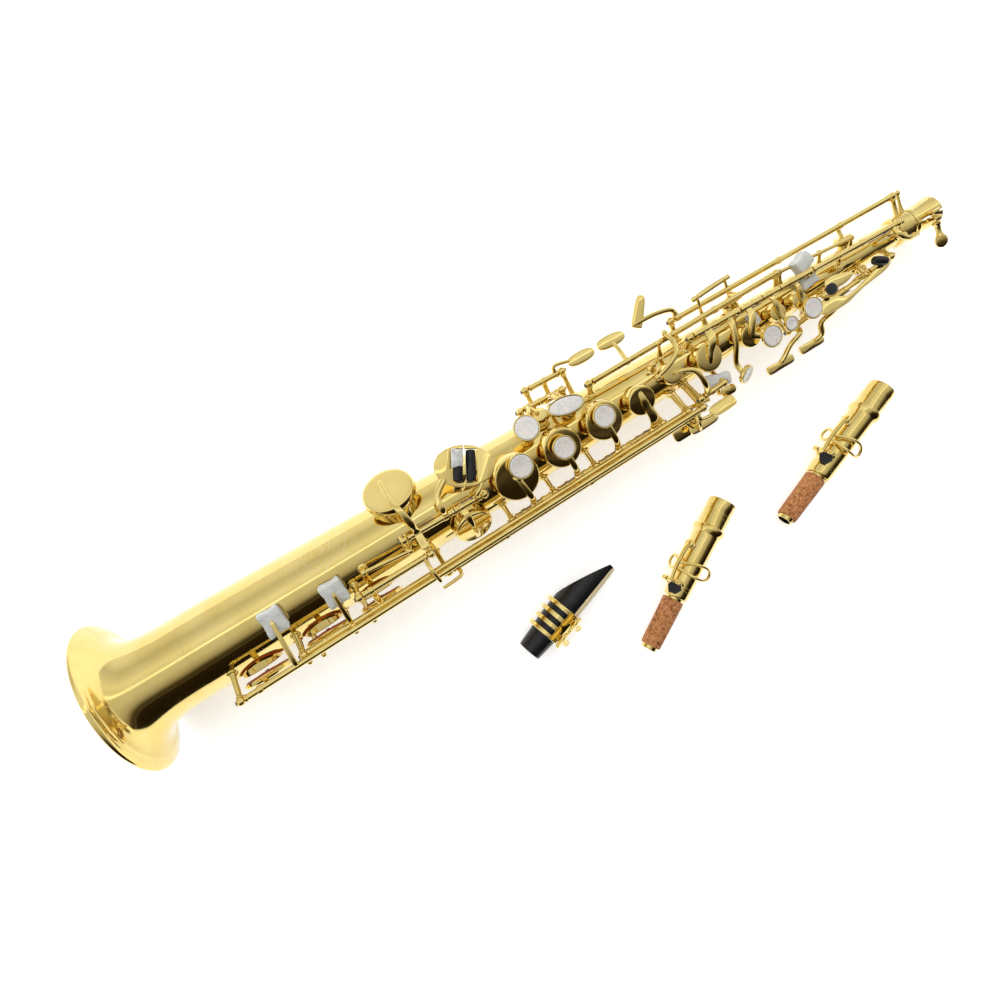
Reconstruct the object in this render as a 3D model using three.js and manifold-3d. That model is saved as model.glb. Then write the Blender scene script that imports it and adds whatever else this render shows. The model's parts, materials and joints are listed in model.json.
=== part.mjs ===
// Soprano saxophone lying on its back, with its mouthpiece group and two straight necks beside it.
// Millimetres. The instrument is laid out in its own frame first: x runs along the bore from the
// bell rim (x = 0) to the neck receiver, z points away from the table, y is across.
// The outer group then tilts it so that the table it rests on is the plane z = 0.
import * as THREE from 'three';
import { mergeVertices } from 'three/addons/utils/BufferGeometryUtils.js';
import Module from 'manifold-3d';
const wasm = await Module(); wasm.setup();

// ---------------------------------------------------------------- driving dimensions
const BELL_RADIUS = 46;            // outside radius of the bell rim
const BODY_END = 568.6;            // end face of the ferrule
const WALL = 0.9;                  // sheet brass wall
const TUBE_PROFILE = [[48.3, 25.0], [65, 24.9], [106, 23.9], [131, 23.25], [560, 7.7]];
const BELL_OUTER = [[47.7, 25.0], [38, 25.05], [30, 25.3], [22.5, 26.0], [16, 27.4], [11, 29.9], [7, 33.8], [4.6, 38.0], [3.4, 41.8]];
const TABLE_SLOPE = 0.0387;        // rise of the table plane per mm along the bore
const TABLE_Z = -46.08;            // table height under the bell rim
const HINGE_R = 1.8;               // hinge tube outside radius
const BORE_R = 1.15;               // hinge tube bore
const ROD_R = 0.9;                 // steel hinge rod
const HEAD_R = 2.5;                // post head radius
const CUP_DEPTH = 4.2;
const GAP = 0.3;                   // running clearance between neighbours
const OFFSET = [-294.09, 53.155, 46.05];  // puts the middle of the underside at the origin (row frame)

// hinge lines: two points on each axis
const LINES = {
  low_bb: [[68.4, -34.8, 26.0], [365.0, -31.9, 14.5]],
  low_b: [[68.4, -32.0, 22.2], [365.0, -29.1, 10.7]],
  cs_lever: [[68.4, -36.4, 21.2], [365.0, -33.5, 9.7]],
  low_cs: [[140.8, -20.7, 27.0], [186.6, -20.7, 26.0]],
  low_c_eb: [[177.8, -6.5, 27.0], [230.6, -7.7, 25.0]],
  lower_stack: [[238.3, -29.0, 9.0], [347.8, -27.2, 7.0]],
  upper_stack: [[384.5, 8.3, 24.0], [548.4, 3.2, 17.0]],
  side: [[385.7, 23.9, 12.0], [565.6, 20.7, 8.0]],
  side_c: [[318, 16.2, 19.0], [460.4, 15.7, 16.0]],
  side_bb: [[285.3, 33.0, 10.0], [312, 31.8, 10.0]],
  trill: [[275.4, 23.2, 14.0], [304, 22.1, 11.0]],
  gs: [[374, -26.6, 15.6], [392, -25.6, 14.8]],
  palm: [[450, -19.4, 8.0], [540, -12.6, 8.0]],
};
// posts: hinge line, x of the head, angle of the foot when it doesn't stand square to the bore
const POSTS = [
  ['low_bb', 60.4], ['low_bb', 373.9], ['low_b', 99.2], ['low_b', 366.2], ['cs_lever', 190.4, -85], ['cs_lever', 366.6, -88],
  ['low_cs', 141.4], ['low_cs', 187.2], ['low_c_eb', 178.4], ['low_c_eb', 230.4],
  ['lower_stack', 238.6], ['lower_stack', 269.2], ['lower_stack', 299.2], ['lower_stack', 349.6],
  ['upper_stack', 385.2], ['upper_stack', 420.2], ['upper_stack', 476.6], ['upper_stack', 548.6],
  ['side', 386.2], ['side', 563.6], ['side_c', 318.6], ['side_c', 459.6],
  ['side_bb', 285.6], ['side_bb', 311.2], ['trill', 275.2], ['trill', 305.0], ['palm', 451.6], ['palm', 487.0], ['palm', 519.0], ['palm', 540.4],
  ['gs', 375.2], ['gs', 393.4],
];
// tone holes: name, x, angle from the top about the bore (deg), chimney outside radius, chimney top from the axis
const HOLES = [
  ['low_bb', 72, -95, 12.5, 25.7], ['low_b', 113, -95, 12.5, 24.6], ['low_cs', 149, -95, 11.6, 23.5],
  ['low_c', 184.9, 48, 14.0, 24.6], ['low_eb', 216.8, -52, 10.4, 22.2],
  ['d', 251.4, -18.4, 12.4, 21.4], ['e', 283.3, -16.7, 10.6, 20.2], ['f', 313.3, -15.2, 10.5, 19.1], ['fs', 340, -20.6, 7.8, 18.0],
  ['gs', 366, -12, 5.6, 16.6], ['g', 391, -20.4, 7.7, 16.1], ['a', 422.8, -28, 6.2, 14.9], ['bis', 445.7, -17.3, 4.4, 13.9], ['b', 463, -20, 4.4, 13.2],
  ['side_bb', 299, 84, 5.2, 19.4], ['side_c', 430, 76, 5.4, 14.6], ['high_e', 520, 70, 4.6, 11.3], ['trill', 283, 40, 4.6, 20.1], ['high_fs', 300, 26, 3.6, 19.2],
  ['palm_d', 478, -100, 4.8, 12.9], ['palm_eb', 500, -100, 4.6, 12.1], ['palm_f', 524, -96, 4.4, 11.1],
];
// outline of the upper palm touch
const PALM_PLATE = [[472.4, -21.8], [488.7, -23.7], [505.4, -20.5], [525.9, -18.1], [532.3, -13.4], [528.7, -11.4], [513.9, -15.6], [494.9, -19.2], [486.3, -16.0], [477.7, -13.8]];
// key cups: x, angle, radius, distance of the outer face from the axis
const CUPS = {
  low_c: [184.9, 35, 15.8, 33.8], low_eb: [216.8, -52, 12.0, 27.2],
  d: [251.4, -20.8, 14.2, 28.4], e: [283.3, -19.1, 12.3, 27.2], f: [313.3, -17.6, 12.2, 26.1], fs: [340, -22.9, 9.3, 24.7],
  gs: [366, -12, 6.9, 21.7], g: [391, -20.4, 9.2, 22.7], a: [422.8, -28, 7.7, 21.6], bis: [445.7, -17.3, 5.7, 20.3], b: [463, -20, 5.7, 19.7],
  side_bb: [299, 84, 6.6, 24.4], side_c: [430, 76, 6.8, 19.5], high_e: [520, 70, 5.9, 16.2], trill: [283, 40, 5.9, 25.2], high_fs: [300, 26, 4.7, 23.2],
  palm_d: [478, -100, 6.0, 17.8], palm_eb: [500, -100, 5.8, 17.0], palm_f: [524, -96, 5.6, 16.0],
};
// bell key cups stand open: hinge line, x, cup radius, opening in degrees from the closed place
// the other keys that stand open: hinge line and the turn about it that closes the cup (deg)
const CLOSE = { low_c: ['low_c_eb', -10], d: ['lower_stack', -4.45], e: ['lower_stack', -4.4], f: ['lower_stack', -4.4], fs: ['lower_stack', -3.95], g: ['upper_stack', 5.2], a: ['upper_stack', 5.3], bis: ['upper_stack', 5.7], b: ['upper_stack', 6.1] };
const BELL_CUPS = { low_bb: ['low_bb', 72, 15, 7], low_b: ['low_b', 113, 15, 7], low_cs: ['low_cs', 149, 14, 7] };

// ---------------------------------------------------------------- solids
const V = (a) => new THREE.Vector3(...a);
function solid(geometry, matrix) {
  const g = geometry.clone(); g.deleteAttribute('normal'); g.deleteAttribute('uv');
  if (matrix) g.applyMatrix4(matrix);
  const m = mergeVertices(g, 1e-4);
  const p = m.attributes.position.array, t = Array.from(m.index.array);
  let volume = 0; const tri = [];
  for (let i = 0; i < t.length; i += 3) {
    const [a, b, c] = [t[i], t[i + 1], t[i + 2]];
    if (a === b || b === c || a === c) continue;
    tri.push(a, b, c);
    const [A, B, C] = [a, b, c].map((k) => new THREE.Vector3(p[3 * k], p[3 * k + 1], p[3 * k + 2]));
    volume += A.dot(B.cross(C));
  }
  if (volume < 0) for (let i = 0; i < tri.length; i += 3) [tri[i], tri[i + 1]] = [tri[i + 1], tri[i]];
  return new wasm.Manifold(new wasm.Mesh({ numProp: 3, vertProperties: new Float32Array(p), triVerts: new Uint32Array(tri) }));
}
const join = (list) => list.reduce((a, b) => a.add(b));
function place(origin, yDirection) {
  const q = new THREE.Quaternion().setFromUnitVectors(new THREE.Vector3(0, 1, 0), yDirection.clone().normalize());
  return new THREE.Matrix4().compose(origin, q, new THREE.Vector3(1, 1, 1));
}
function cyl(p, q, r, n = 10, r2 = r) {            // cylinder or cone from p to q
  const a = V(p), b = V(q), d = b.clone().sub(a), l = d.length();
  return solid(new THREE.CylinderGeometry(r2, r, l, n, 1), place(a.clone().addScaledVector(d, 0.5), d));
}
function bar(points, r, n = 3) {                    // bent bar of constant section
  const out = [];
  for (let i = 0; i + 1 < points.length; i++) {
    const a = V(points[i]), b = V(points[i + 1]), d = b.clone().sub(a).normalize();
    if (i > 0) a.addScaledVector(d, -0.6 * r);
    if (i + 2 < points.length) b.addScaledVector(d, 0.6 * r);
    out.push(cyl(a.toArray(), b.toArray(), r, n));
  }
  return join(out);
}
function lathe(profile, n) {                        // profile of [x, radius], turned about the x axis
  const pts = profile.map(([x, r]) => new THREE.Vector2(r, x)), g = new THREE.LatheGeometry(pts, n), p = g.attributes.position, m = pts.length;
  const same = (to, from) => p.setXYZ(to, p.getX(from), p.getY(from), p.getZ(from));
  for (let j = 0; j < m; j++) same(n * m + j, j);                       // close the seam exactly
  for (let i = 0; i <= n; i++) {
    if (pts[0].equals(pts[m - 1])) same(i * m + m - 1, i * m);
    for (let j = 0; j < m; j++) if (pts[j].x === 0) p.setXYZ(i * m + j, 0, pts[j].y, 0);
  }
  return solid(g, new THREE.Matrix4().makeRotationZ(-Math.PI / 2));
}
function plate(centre, u, v, w, lu, lv, lw) {       // box with its edges along u, v, w
  const m = new THREE.Matrix4().makeBasis(V(u).normalize(), V(v).normalize(), V(w).normalize()).setPosition(V(centre));
  return solid(new THREE.BoxGeometry(lu, lv, lw), m);
}
function sheet(centre, u, v, outline, thickness) {  // flat outline extruded both ways along u x v
  const U = V(u).normalize(), W = U.clone().cross(V(v)).normalize(), Vv = W.clone().cross(U);
  const s = new THREE.Shape(outline.map(([a, b]) => new THREE.Vector2(a, b)));
  const m = new THREE.Matrix4().makeBasis(U, Vv, W).setPosition(V(centre).addScaledVector(W, -thickness / 2));
  return solid(new THREE.ExtrudeGeometry(s, { depth: thickness, bevelEnabled: false }), m);
}
const at = (line, x) => { const [p, q] = LINES[line]; const t = (x - p[0]) / (q[0] - p[0]); return p.map((a, i) => a + t * (q[i] - a)); };
const rad = (deg) => deg * Math.PI / 180;
const radial = (deg) => [0, Math.sin(rad(deg)), Math.cos(rad(deg))];
const onRadial = (x, deg, r) => [x, r * Math.sin(rad(deg)), r * Math.cos(rad(deg))];
const mid = (a, b, t = 0.5) => a.map((v, i) => v + t * (b[i] - v));
const plus = (a, b, k = 1) => a.map((v, i) => v + k * b[i]);
function tubeR(x) {
  for (let i = 1; i < TUBE_PROFILE.length; i++) {
    const [a, b] = [TUBE_PROFILE[i - 1], TUBE_PROFILE[i]];
    if (x <= b[0]) return a[1] + (b[1] - a[1]) * (x - a[0]) / (b[0] - a[0]);
  }
  return 7.7;
}
const hinge = (line, x0, x1, r = HINGE_R) => cyl(at(line, x0), at(line, x1), r, 6);
const bore = (line, x0, x1, r = BORE_R) => cyl(at(line, x0 - 2), at(line, x1 + 2), r, 6);
function swing(line, p, deg) {                      // point turned about a hinge line
  const [a, b] = LINES[line].map(V), axis = b.sub(a).normalize();
  return V(p).sub(a).applyAxisAngle(axis, rad(deg)).add(a).toArray();
}
function standing(name, r0) {                        // point at radius r0 from the bore over a tone hole, key standing open
  const [line, deg] = CLOSE[name], [, x, phi] = HOLES.find((h) => h[0] === name);
  return swing(line, onRadial(x, phi, r0), -deg);
}
function openCup(name) {                             // cup that closes flat on its tone hole
  const top = HOLES.find((h) => h[0] === name)[4] + 0.35, r = CUPS[name][2];
  return cyl(standing(name, top), standing(name, top + CUP_DEPTH + 0.6), r, 12, r * 0.9);
}
const cup = ([x, deg, r, face], depth = CUP_DEPTH + 0.6) => cyl(onRadial(x, deg, face - depth), onRadial(x, deg, face), r, 12, r * 0.9);

// ---------------------------------------------------------------- scene graph
const group = new THREE.Group();
const row = new THREE.Group();
row.rotation.y = Math.atan(TABLE_SLOPE); row.position.set(...OFFSET);
group.add(row);
const FINISH = {
  brass: [0xd9a93c, 0.16, 1.0], steel: [0xb9b9bd, 0.3, 1.0], pearl: [0xf2ece2, 0.3, 0.0], leather: [0x7a2a12, 0.6, 0.0],
  foam: [0xf4f4ee, 0.85, 0.0], roller: [0x14120f, 0.3, 0.0], ebonite: [0x101010, 0.22, 0.0], cork: [0xb5713a, 0.85, 0.0], cane: [0xe8d9a0, 0.6, 0.0],
};
function node(name, manifold, finish, parent = row) {
  const mesh = manifold.getMesh(), g = new THREE.BufferGeometry();
  const n = mesh.numProp, src = mesh.vertProperties, pos = new Float32Array(src.length / n * 3);
  for (let i = 0; i < src.length / n; i++) for (let k = 0; k < 3; k++) pos[3 * i + k] = src[n * i + k];
  g.setAttribute('position', new THREE.BufferAttribute(pos, 3)); g.setIndex(Array.from(mesh.triVerts)); g.computeVertexNormals();
  const [color, roughness, metalness] = FINISH[finish];
  const m = new THREE.Mesh(g, new THREE.MeshStandardMaterial({ color, roughness, metalness }));
  m.name = name; parent.add(m);
}

// ---------------------------------------------------------------- body: tube, tone holes, posts, ferrule
{
  const inner = TUBE_PROFILE.filter(([x]) => x !== 65 && x !== 106).map(([x, r]) => [x, r - WALL]);
  let outer = lathe([[48.3, 0], ...TUBE_PROFILE.filter(([x]) => x !== 65 && x !== 106), [BODY_END, 7.7], [BODY_END, 0]], 16);
  const bits = [outer, cyl([556, 0, 0], [BODY_END, 0, 0], 9.5, 16)];
  for (const [, x, deg, r, top] of HOLES) bits.push(cyl(onRadial(x, deg, tubeR(x) * 0.7), onRadial(x, deg, top), r, r > 9 ? 8 : 6));
  for (const [line, x, foot] of POSTS) {
    const h = at(line, x), l = Math.hypot(h[1], h[2]), dir = foot === undefined ? [0, h[1] / l, h[2] / l] : radial(foot);
    bits.push(cyl([x, dir[1] * (tubeR(x) - 0.7), dir[2] * (tubeR(x) - 0.7)], h, 1.5, 3));
    const [p, q] = [at(line, x - 2.2), at(line, x + 2.2)];
    bits.push(cyl(p, q, HEAD_R, 6));
  }
  let body = join(bits);
  body = body.subtract(lathe([[47, 0], [47, 24.1], ...inner, [BODY_END + 1, 6.8], [BODY_END + 1, 0]], 16));
  for (const [, x, deg, r, top] of HOLES) body = body.subtract(cyl(onRadial(x, deg, 0.5), onRadial(x, deg, top + 2), r - 1.2, r > 9 ? 8 : 6));
  for (const [line, x0, x1] of [['low_c_eb', 174, 235], ['lower_stack', 234, 354], ['upper_stack', 381, 481]]) body = body.subtract(cyl(at(line, x0), at(line, x1), BORE_R, 6));
  node('body_tube', body, 'brass');
}
// steel hinge rods, held in the post heads
node('rod_low_c_eb', cyl(at('low_c_eb', 176.4), at('low_c_eb', 232.4), ROD_R, 8), 'steel');
node('rod_lower_stack', cyl(at('lower_stack', 236.6), at('lower_stack', 351.6), ROD_R, 8), 'steel');
node('rod_upper_stack', cyl(at('upper_stack', 383.2), at('upper_stack', 478.6), ROD_R, 8), 'steel');
// bell flare with a rolled rim and a flat standing edge
{
  const inner = BELL_OUTER.map(([x, r]) => [x + (r > 30 ? 0.75 : 0.15), r - WALL]).reverse();
  const rim = [[2.6, 45.0], [1.2, BELL_RADIUS], [0, 45.3], [0, 43.9], [0.9, 43.1]];
  const profile = [...BELL_OUTER, ...rim, ...inner.slice(0), BELL_OUTER[0]];
  node('bell_flare', lathe(profile, 24), 'brass');
}
// neck receiver: spigot in the body, sleeve, clamp lugs and slot
const SCREW = { from: [579.7, 0.87, 13.16], to: [579.7, -26.13, 4.16] };
{
  const d = V(SCREW.to).sub(V(SCREW.from)).normalize().toArray();
  const side = V([1, 0, 0]), up = side.clone().cross(V(d)).normalize();
  let r = join([cyl([569, 0, 0], [590, 0, 0], 9.7, 20), cyl([560.5, 0, 0], [570, 0, 0], 6.4, 14)]);
  for (const s of [0.2, 4.6]) r = r.add(plate(plus(SCREW.from, d, s + 3.0), [1, 0, 0], d, up.toArray(), 5.6, 2.8, 8.0));
  r = r.subtract(cyl([559, 0, 0], [591, 0, 0], 5.4, 14)).subtract(cyl([573, 0, 0], [591, 0, 0], 8.0, 20));
  r = r.subtract(plate(plus(plus(SCREW.from, d, 5.4), [1, 0, 0], 3), [1, 0, 0], d, up.toArray(), 21, 1.2, 16));
  r = r.subtract(cyl(plus(SCREW.from, d, -3), plus(SCREW.from, d, 14), 1.5, 8));
  node('neck_receiver', r, 'brass');
  let s = join([cyl(plus(SCREW.from, d, 0.8), plus(SCREW.from, d, 11.2), 1.2, 8), cyl(plus(SCREW.from, d, 10.2), plus(SCREW.from, d, 20), 2.6, 10)]);
  s = s.add(sheet(plus(SCREW.from, d, 23.4), d, [0.9, 0, 0.3], [[-4.2, -1.6], [-2.6, -3.4], [0, -4.1], [2.6, -3.4], [4.1, 0], [2.6, 3.4], [0, 4.1], [-2.6, 3.4], [-4.2, 1.6]], 2.2));
  node('neck_clamp_screw', s, 'brass');
}
// thumb hook on the back; its foot is the rear rest of the instrument
{
  const x = 300, r = tubeR(x), tableAt = (xx) => TABLE_Z + TABLE_SLOPE * xx;
  const n = V([-TABLE_SLOPE, 0, 1]).normalize().toArray(), u = V([1, 0, TABLE_SLOPE]).normalize().toArray();
  let h = plate([x, 0, -r - 1.15], [1, 0, 0], [0, 1, 0], [0, 0, 1], 20, 9, 1.5);
  h = h.add(plate([x + 4, 0, -r - 8], [1, 0, 0], [0, 1, 0], [0, 0, 1], 3.2, 7, 14.5));
  const foot = [x, 0, tableAt(x)].map((v, i) => v + n[i] * 1.25);
  h = h.add(plate(foot, u, [0, 1, 0], n, 15, 11, 2.5));
  node('thumb_hook', h, 'brass');
  const xt = 432, rt = tubeR(xt);
  node('thumb_rest', cyl([xt, 0, -rt - 0.4], [xt, 0, -rt - 5.0], 6.5, 16), 'ebonite');
  const xs = 352, rs = tubeR(xs);
  let ring = solid(new THREE.TorusGeometry(5.0, 1.1, 5, 10), new THREE.Matrix4().makeRotationX(Math.PI / 2).setPosition(xs, 0, -rs - 7.4));
  ring = ring.add(plate([xs, 0, -rs - 1.2], [1, 0, 0], [0, 1, 0], [0, 0, 1], 12, 6, 1.6));
  node('strap_ring', ring, 'brass');
}

// ---------------------------------------------------------------- bell keys and their pads
function openBell(name) {                            // pad face centre and outward normal with the key open
  const [line, x, r, open] = BELL_CUPS[name], hole = HOLES.find((h) => h[0] === name);
  const H = at(line, x), c = onRadial(x, hole[2], hole[4] + 0.15), n = radial(hole[2]), a = rad(-open);
  const rot = ([, y, z]) => [0, y * Math.cos(a) - z * Math.sin(a), y * Math.sin(a) + z * Math.cos(a)];
  const d = rot([0, c[1] - H[1], c[2] - H[2]]);
  return { centre: [x, H[1] + d[1], H[2] + d[2]], normal: rot(n), r, H };
}
function bellKey(name, x0, x1, extra) {
  const { centre, normal, r, H } = openBell(name), line = BELL_CUPS[name][0];
  const back = plus(centre, normal, 4.6), t = [0, -normal[2], normal[1]].map((v) => (normal[1] < 0 ? -v : v));
  let k = cyl(plus(centre, normal, 1.0), back, r, 16, r * 0.94);
  k = k.subtract(cyl(plus(centre, normal, 0.5), plus(centre, normal, 3.6), r - 0.9, 16));
  const edge = plus(plus(centre, normal, 5.6), t, r * 0.85);
  k = k.add(bar([[H[0], H[1] - 0.2, H[2] - 1.2], edge, plus(plus(centre, normal, 5.3), t, -r * 0.55)], 1.3));
  k = k.add(hinge(line, x0, x1));
  for (const e of extra) k = k.add(e);
  return k;
}
function bellPad(name) { const { centre, normal, r } = openBell(name); return cyl(centre, plus(centre, normal, 3.3), r - 1.4, 16); }
const spurs = { low_bb: [[94.6, -34.2, 25.2], [96.4, -6.6, 32.0]], low_b: [[130.2, -31.2, 20.4], [131.2, -11.0, 31.0]] };
const wedges = { low_bb: { c: [96.4, -7.6, 27.15], l: [11.5, 13.5, 5.8] }, low_b: { c: [131.2, -11.8, 25.6], l: [12.5, 12.5, 5.8] } };
{
  const spatula = (c, u, v, w, a, b, t) => plate(c, u, v, w, a, b, t);
  node('low_bb_key', bellKey('low_bb', 63.0, 371.3, [bar(spurs.low_bb, 1.3), bar([at('low_bb', 369.0), [369.4, -37.2, 13.4], [379, -38.4, 12.8]], 1.4), spatula([386.5, -37.2, 12.6], [1, 0.02, 0], [0, 1, -0.2], [0, 0.2, 1], 18, 8, 2.4)]), 'brass');
  node('low_bb_pad', bellPad('low_bb'), 'leather');
  node('low_b_key', bellKey('low_b', 101.8, 363.5, [bar(spurs.low_b, 1.3), bar([at('low_b', 361.5), [360.5, -30.2, 4.5], [360, -35.0, 1.5]], 1.4), spatula([360, -38.5, 0.6], [1, 0, 0], [0, 1, 0.3], [0, -0.3, 1], 13, 9, 2.2)]), 'brass');
  node('low_b_pad', bellPad('low_b'), 'leather');
  node('low_cs_key', bellKey('low_cs', 144.0, 184.6, [bar([at('low_cs', 183), [183, -28.0, 29.6], [184, -36.4, 27.4]], 1.2)]), 'brass');
  node('low_cs_pad', bellPad('low_cs'), 'leather');
  // lever from the little-finger table that lifts the low C sharp cup
  node('low_cs_lever', join([hinge('cs_lever', 193.0, 364.0), bar([at('cs_lever', 196.2), [196.2, -39.8, 18.8], [190, -40.8, 22.0], [184, -40.8, 24.5]], 1.2), bar([at('cs_lever', 362.2), [362.6, -38.6, 8.4]], 1.3), plate([372, -40.6, 7.6], [1, 0, 0], [0, 1, 0.1], [0, -0.1, 1], 20, 6.5, 2.2)]), 'brass');
}

// ---------------------------------------------------------------- low C and E flat with their rollers
const TOUCH = { c: [219.2, 16.6, 30.4], eb: [238.4, 7.6, 30.4] };
{
  const u = [0.87, -0.49, 0], v = [0.49, 0.87, 0];
  const D = (s) => [[0.35, -12.1], [5.5, -11.6], [10.5, -9.7], [15.0, -6.2], [17.4, 0], [15.0, 6.2], [10.5, 9.7], [5.5, 11.6], [0.35, 12.1], [0.35, 9.6], [7.1, 9.6], [7.1, -9.2], [0.35, -9.2]].map(([a, b]) => [s * a, b]);
  const C0 = [228.4, 11.45, 30.2], E0 = C0;
  const flip = (pts, s) => (s < 0 ? pts.slice().reverse() : pts);
  const cPlate = sheet(C0, u, v, flip(D(-1), -1), 2.0), ePlate = sheet(E0, u, v, flip(D(1), 1), 2.0);
  const over = (r0) => standing('low_c', 24.6 + 0.35 + r0);
  let c = cyl(over(0.7), over(4.9), CUPS.low_c[2], 14, CUPS.low_c[2] * 0.92);
  c = c.subtract(cyl(over(0), over(3.7), 13.7, 12));
  const nC = V(over(5)).sub(V(over(4))).normalize(), tC = [0, nC.z, -nC.y];
  c = c.add(bar([plus(over(5.3), tC, 6), plus(over(5.3), tC, -11), [185.4, 9.6, 37.0], [186.6, -2.5, 33.6], [186.8, -7.0, 28.0], [186.6, -16.0, 30.6]], 1.35));
  c = c.add(hinge('low_c_eb', 181.0, 210.6)).add(bar([at('low_c_eb', 205.6), [205.4, -3.0, 31.2], [206.4, 4.5, 31.5], [214.2, 10.8, 31.0]], 1.3)).add(cPlate);
  node('low_c_key', c.subtract(bore('low_c_eb', 181, 210.6)), 'brass');
  node('low_c_pad', cyl(over(0), over(3.4), 13.2, 12), 'leather');
  const e = join([cup(CUPS.low_eb), hinge('low_c_eb', 211.2, 227.8),
    bar([at('low_c_eb', 215.6), [215.8, -13.5, 27.0], [216.2, -22.5, 19.6], [216.4, -26.6, 12.6]], 1.3), bar([at('low_c_eb', 224.6), [227.0, -5.6, 30.4], [232.2, -1.6, 30.2]], 1.3), ePlate]);
  node('low_eb_key', e.subtract(bore('low_c_eb', 211, 228)), 'brass');
  for (const [name, o, k] of [['low_c_roller', C0, -3.75], ['low_eb_roller', E0, 3.75]]) {
    const c0 = plus(o, V(u).normalize().toArray(), k), vv = V(v).normalize().toArray();
    node(name, cyl(plus(c0, vv, -8.7), plus(c0, vv, 9.1), 3.0, 12), 'roller');
  }
}

// ---------------------------------------------------------------- finger stacks
const PEARLS = {                                     // centre of the pearl's top, radius, lean angle about the bore, along-bore lean
  d: [[255.6, -5.2, 33.0], 6.6, -14, 0], e: [[282.6, -8.9, 32.0], 6.2, -14, 0], f: [[312.6, -5.4, 31.0], 6.2, -12, 0],
  g: [[408.2, -28.7, 17.0], 5.2, -52, 18], a: [[432.4, -16.7, 22.0], 6.0, -16, 0], bis: [[448.1, -16.2, 21.0], 3.9, -16, 0], b: [[465.8, -14.9, 21.0], 5.9, -12, 0],
  trill: [[269.6, 11.6, 33.0], 6.9, 6, 0], high_fs: [[296.4, 11.2, 31.6], 0, 6, 0],
};
function seat(name) {                                // pearl axis and its holder
  const [c, r, lean, along] = PEARLS[name], n = V([Math.sin(rad(along)), Math.sin(rad(lean)) * Math.cos(rad(along)), Math.cos(rad(lean)) * Math.cos(rad(along))]).toArray();
  return { c, r, n };
}
const holder = (name, depth = 2.6) => { const { c, r, n } = seat(name); return cyl(plus(c, n, -depth), plus(c, n, -0.9), r + 0.9, 8); };
const pearl = (name) => { const { c, r, n } = seat(name); return cyl(plus(c, n, -0.6), plus(c, n, 0.5), r, 8, r * 0.86); };
const stem = (name, k = -2.2) => { const { c, n } = seat(name); return plus(c, n, k); };
function stackKey(name, line, x0, x1, hx, via) {
  const [x, deg, r, face] = CUPS[name], top = onRadial(x, deg, face + 0.7);
  const parts = [openCup(name), bar([at(line, hx), via, top], 1.3), hinge(line, x0, x1)];
  parts.push(holder(name, 3.0)); parts.push(bar([stem(name, -2.6), onRadial(x, deg, face - 0.6)], 2.2));
  return join(parts).subtract(bore(line, x0, x1));
}
node('d_key', stackKey('d', 'lower_stack', 241.2, 266.6, 254.4, [253.6, -24.2, 21.0]), 'brass');
node('e_key', stackKey('e', 'lower_stack', 271.8, 296.6, 285.6, [284.9, -23.2, 20.0]), 'brass');
node('f_key', stackKey('f', 'lower_stack', 301.8, 324.6, 315.4, [314.8, -22.2, 19.0]), 'brass');
{
  const [x, deg, r, face] = CUPS.fs;
  const k = join([openCup('fs'), hinge('lower_stack', 325.2, 347.0), bar([at('lower_stack', 342.8), [342.6, -21.6, 18.0], onRadial(341, -26, face + 0.7), onRadial(341, -10, face + 0.5)], 1.3)]);
  node('fs_key', k.subtract(bore('lower_stack', 325, 347)), 'brass');
}
for (const name of ['d', 'e', 'f']) node(name + '_pearl', pearl(name), 'pearl');
{
  const g = join([openCup('g'), hinge('upper_stack', 387.8, 417.6), bar([at('upper_stack', 397.2), [396.0, 0.5, 25.6], onRadial(392.4, -14, 23.3), onRadial(390.4, -30, 23.2)], 1.3),
    bar([at('upper_stack', 414.2), [412.4, 2.0, 24.6], [409.4, -10.0, 21.4], [406.6, -20.5, 15.2], stem('g')], 1.35), holder('g')]);
  node('g_key', g.subtract(bore('upper_stack', 388, 418)), 'brass');
  const a = join([openCup('a'), hinge('upper_stack', 422.8, 438.6), bar([at('upper_stack', 427.8), [427.2, 0.5, 23.4], onRadial(424, -22, 22.2), onRadial(423, -31, 22.2), stem('a')], 1.3), holder('a')]);
  node('a_key', a.subtract(bore('upper_stack', 422, 439)), 'brass');
  const c = join([openCup('bis'), hinge('upper_stack', 439.2, 452.4), bar([at('upper_stack', 445.0), [445.4, 1.0, 22.0], onRadial(445.7, -18, 20.9), stem('bis')], 1.2), holder('bis')]);
  node('bis_key', c.subtract(bore('upper_stack', 439, 453)), 'brass');
  const b = join([openCup('b'), hinge('upper_stack', 453.0, 474.0), bar([at('upper_stack', 464.0), [464.2, 0.5, 21.5], onRadial(464, -20, 20.3), stem('b')], 1.2), holder('b')]);
  node('b_key', b.subtract(bore('upper_stack', 453, 474)), 'brass');
  for (const name of ['g', 'a', 'bis', 'b']) node(name + '_pearl', pearl(name), 'pearl');
}
// G sharp: hinge beside the little-finger table, lever over the tube to its cup
{
  const [x, deg, r, face] = CUPS.gs;
  node('gs_key', join([cup(CUPS.gs), hinge('gs', 377.6, 391.0), bar([at('gs', 380.4), [379.2, -20.5, 22.6], [376.2, -10.0, 26.2], [368.0, -5.2, 24.0], onRadial(366.5, deg, face + 0.3)], 1.3), bar([at('gs', 389.0), [389.4, -29.8, 10.2], [393.5, -30.4, 9.2]], 1.3), plate([396.6, -31.2, 8.8], [1, 0, 0], [0, 1, 0.3], [0, -0.3, 1], 10.4, 6, 2.2)]), 'brass');
}

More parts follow.
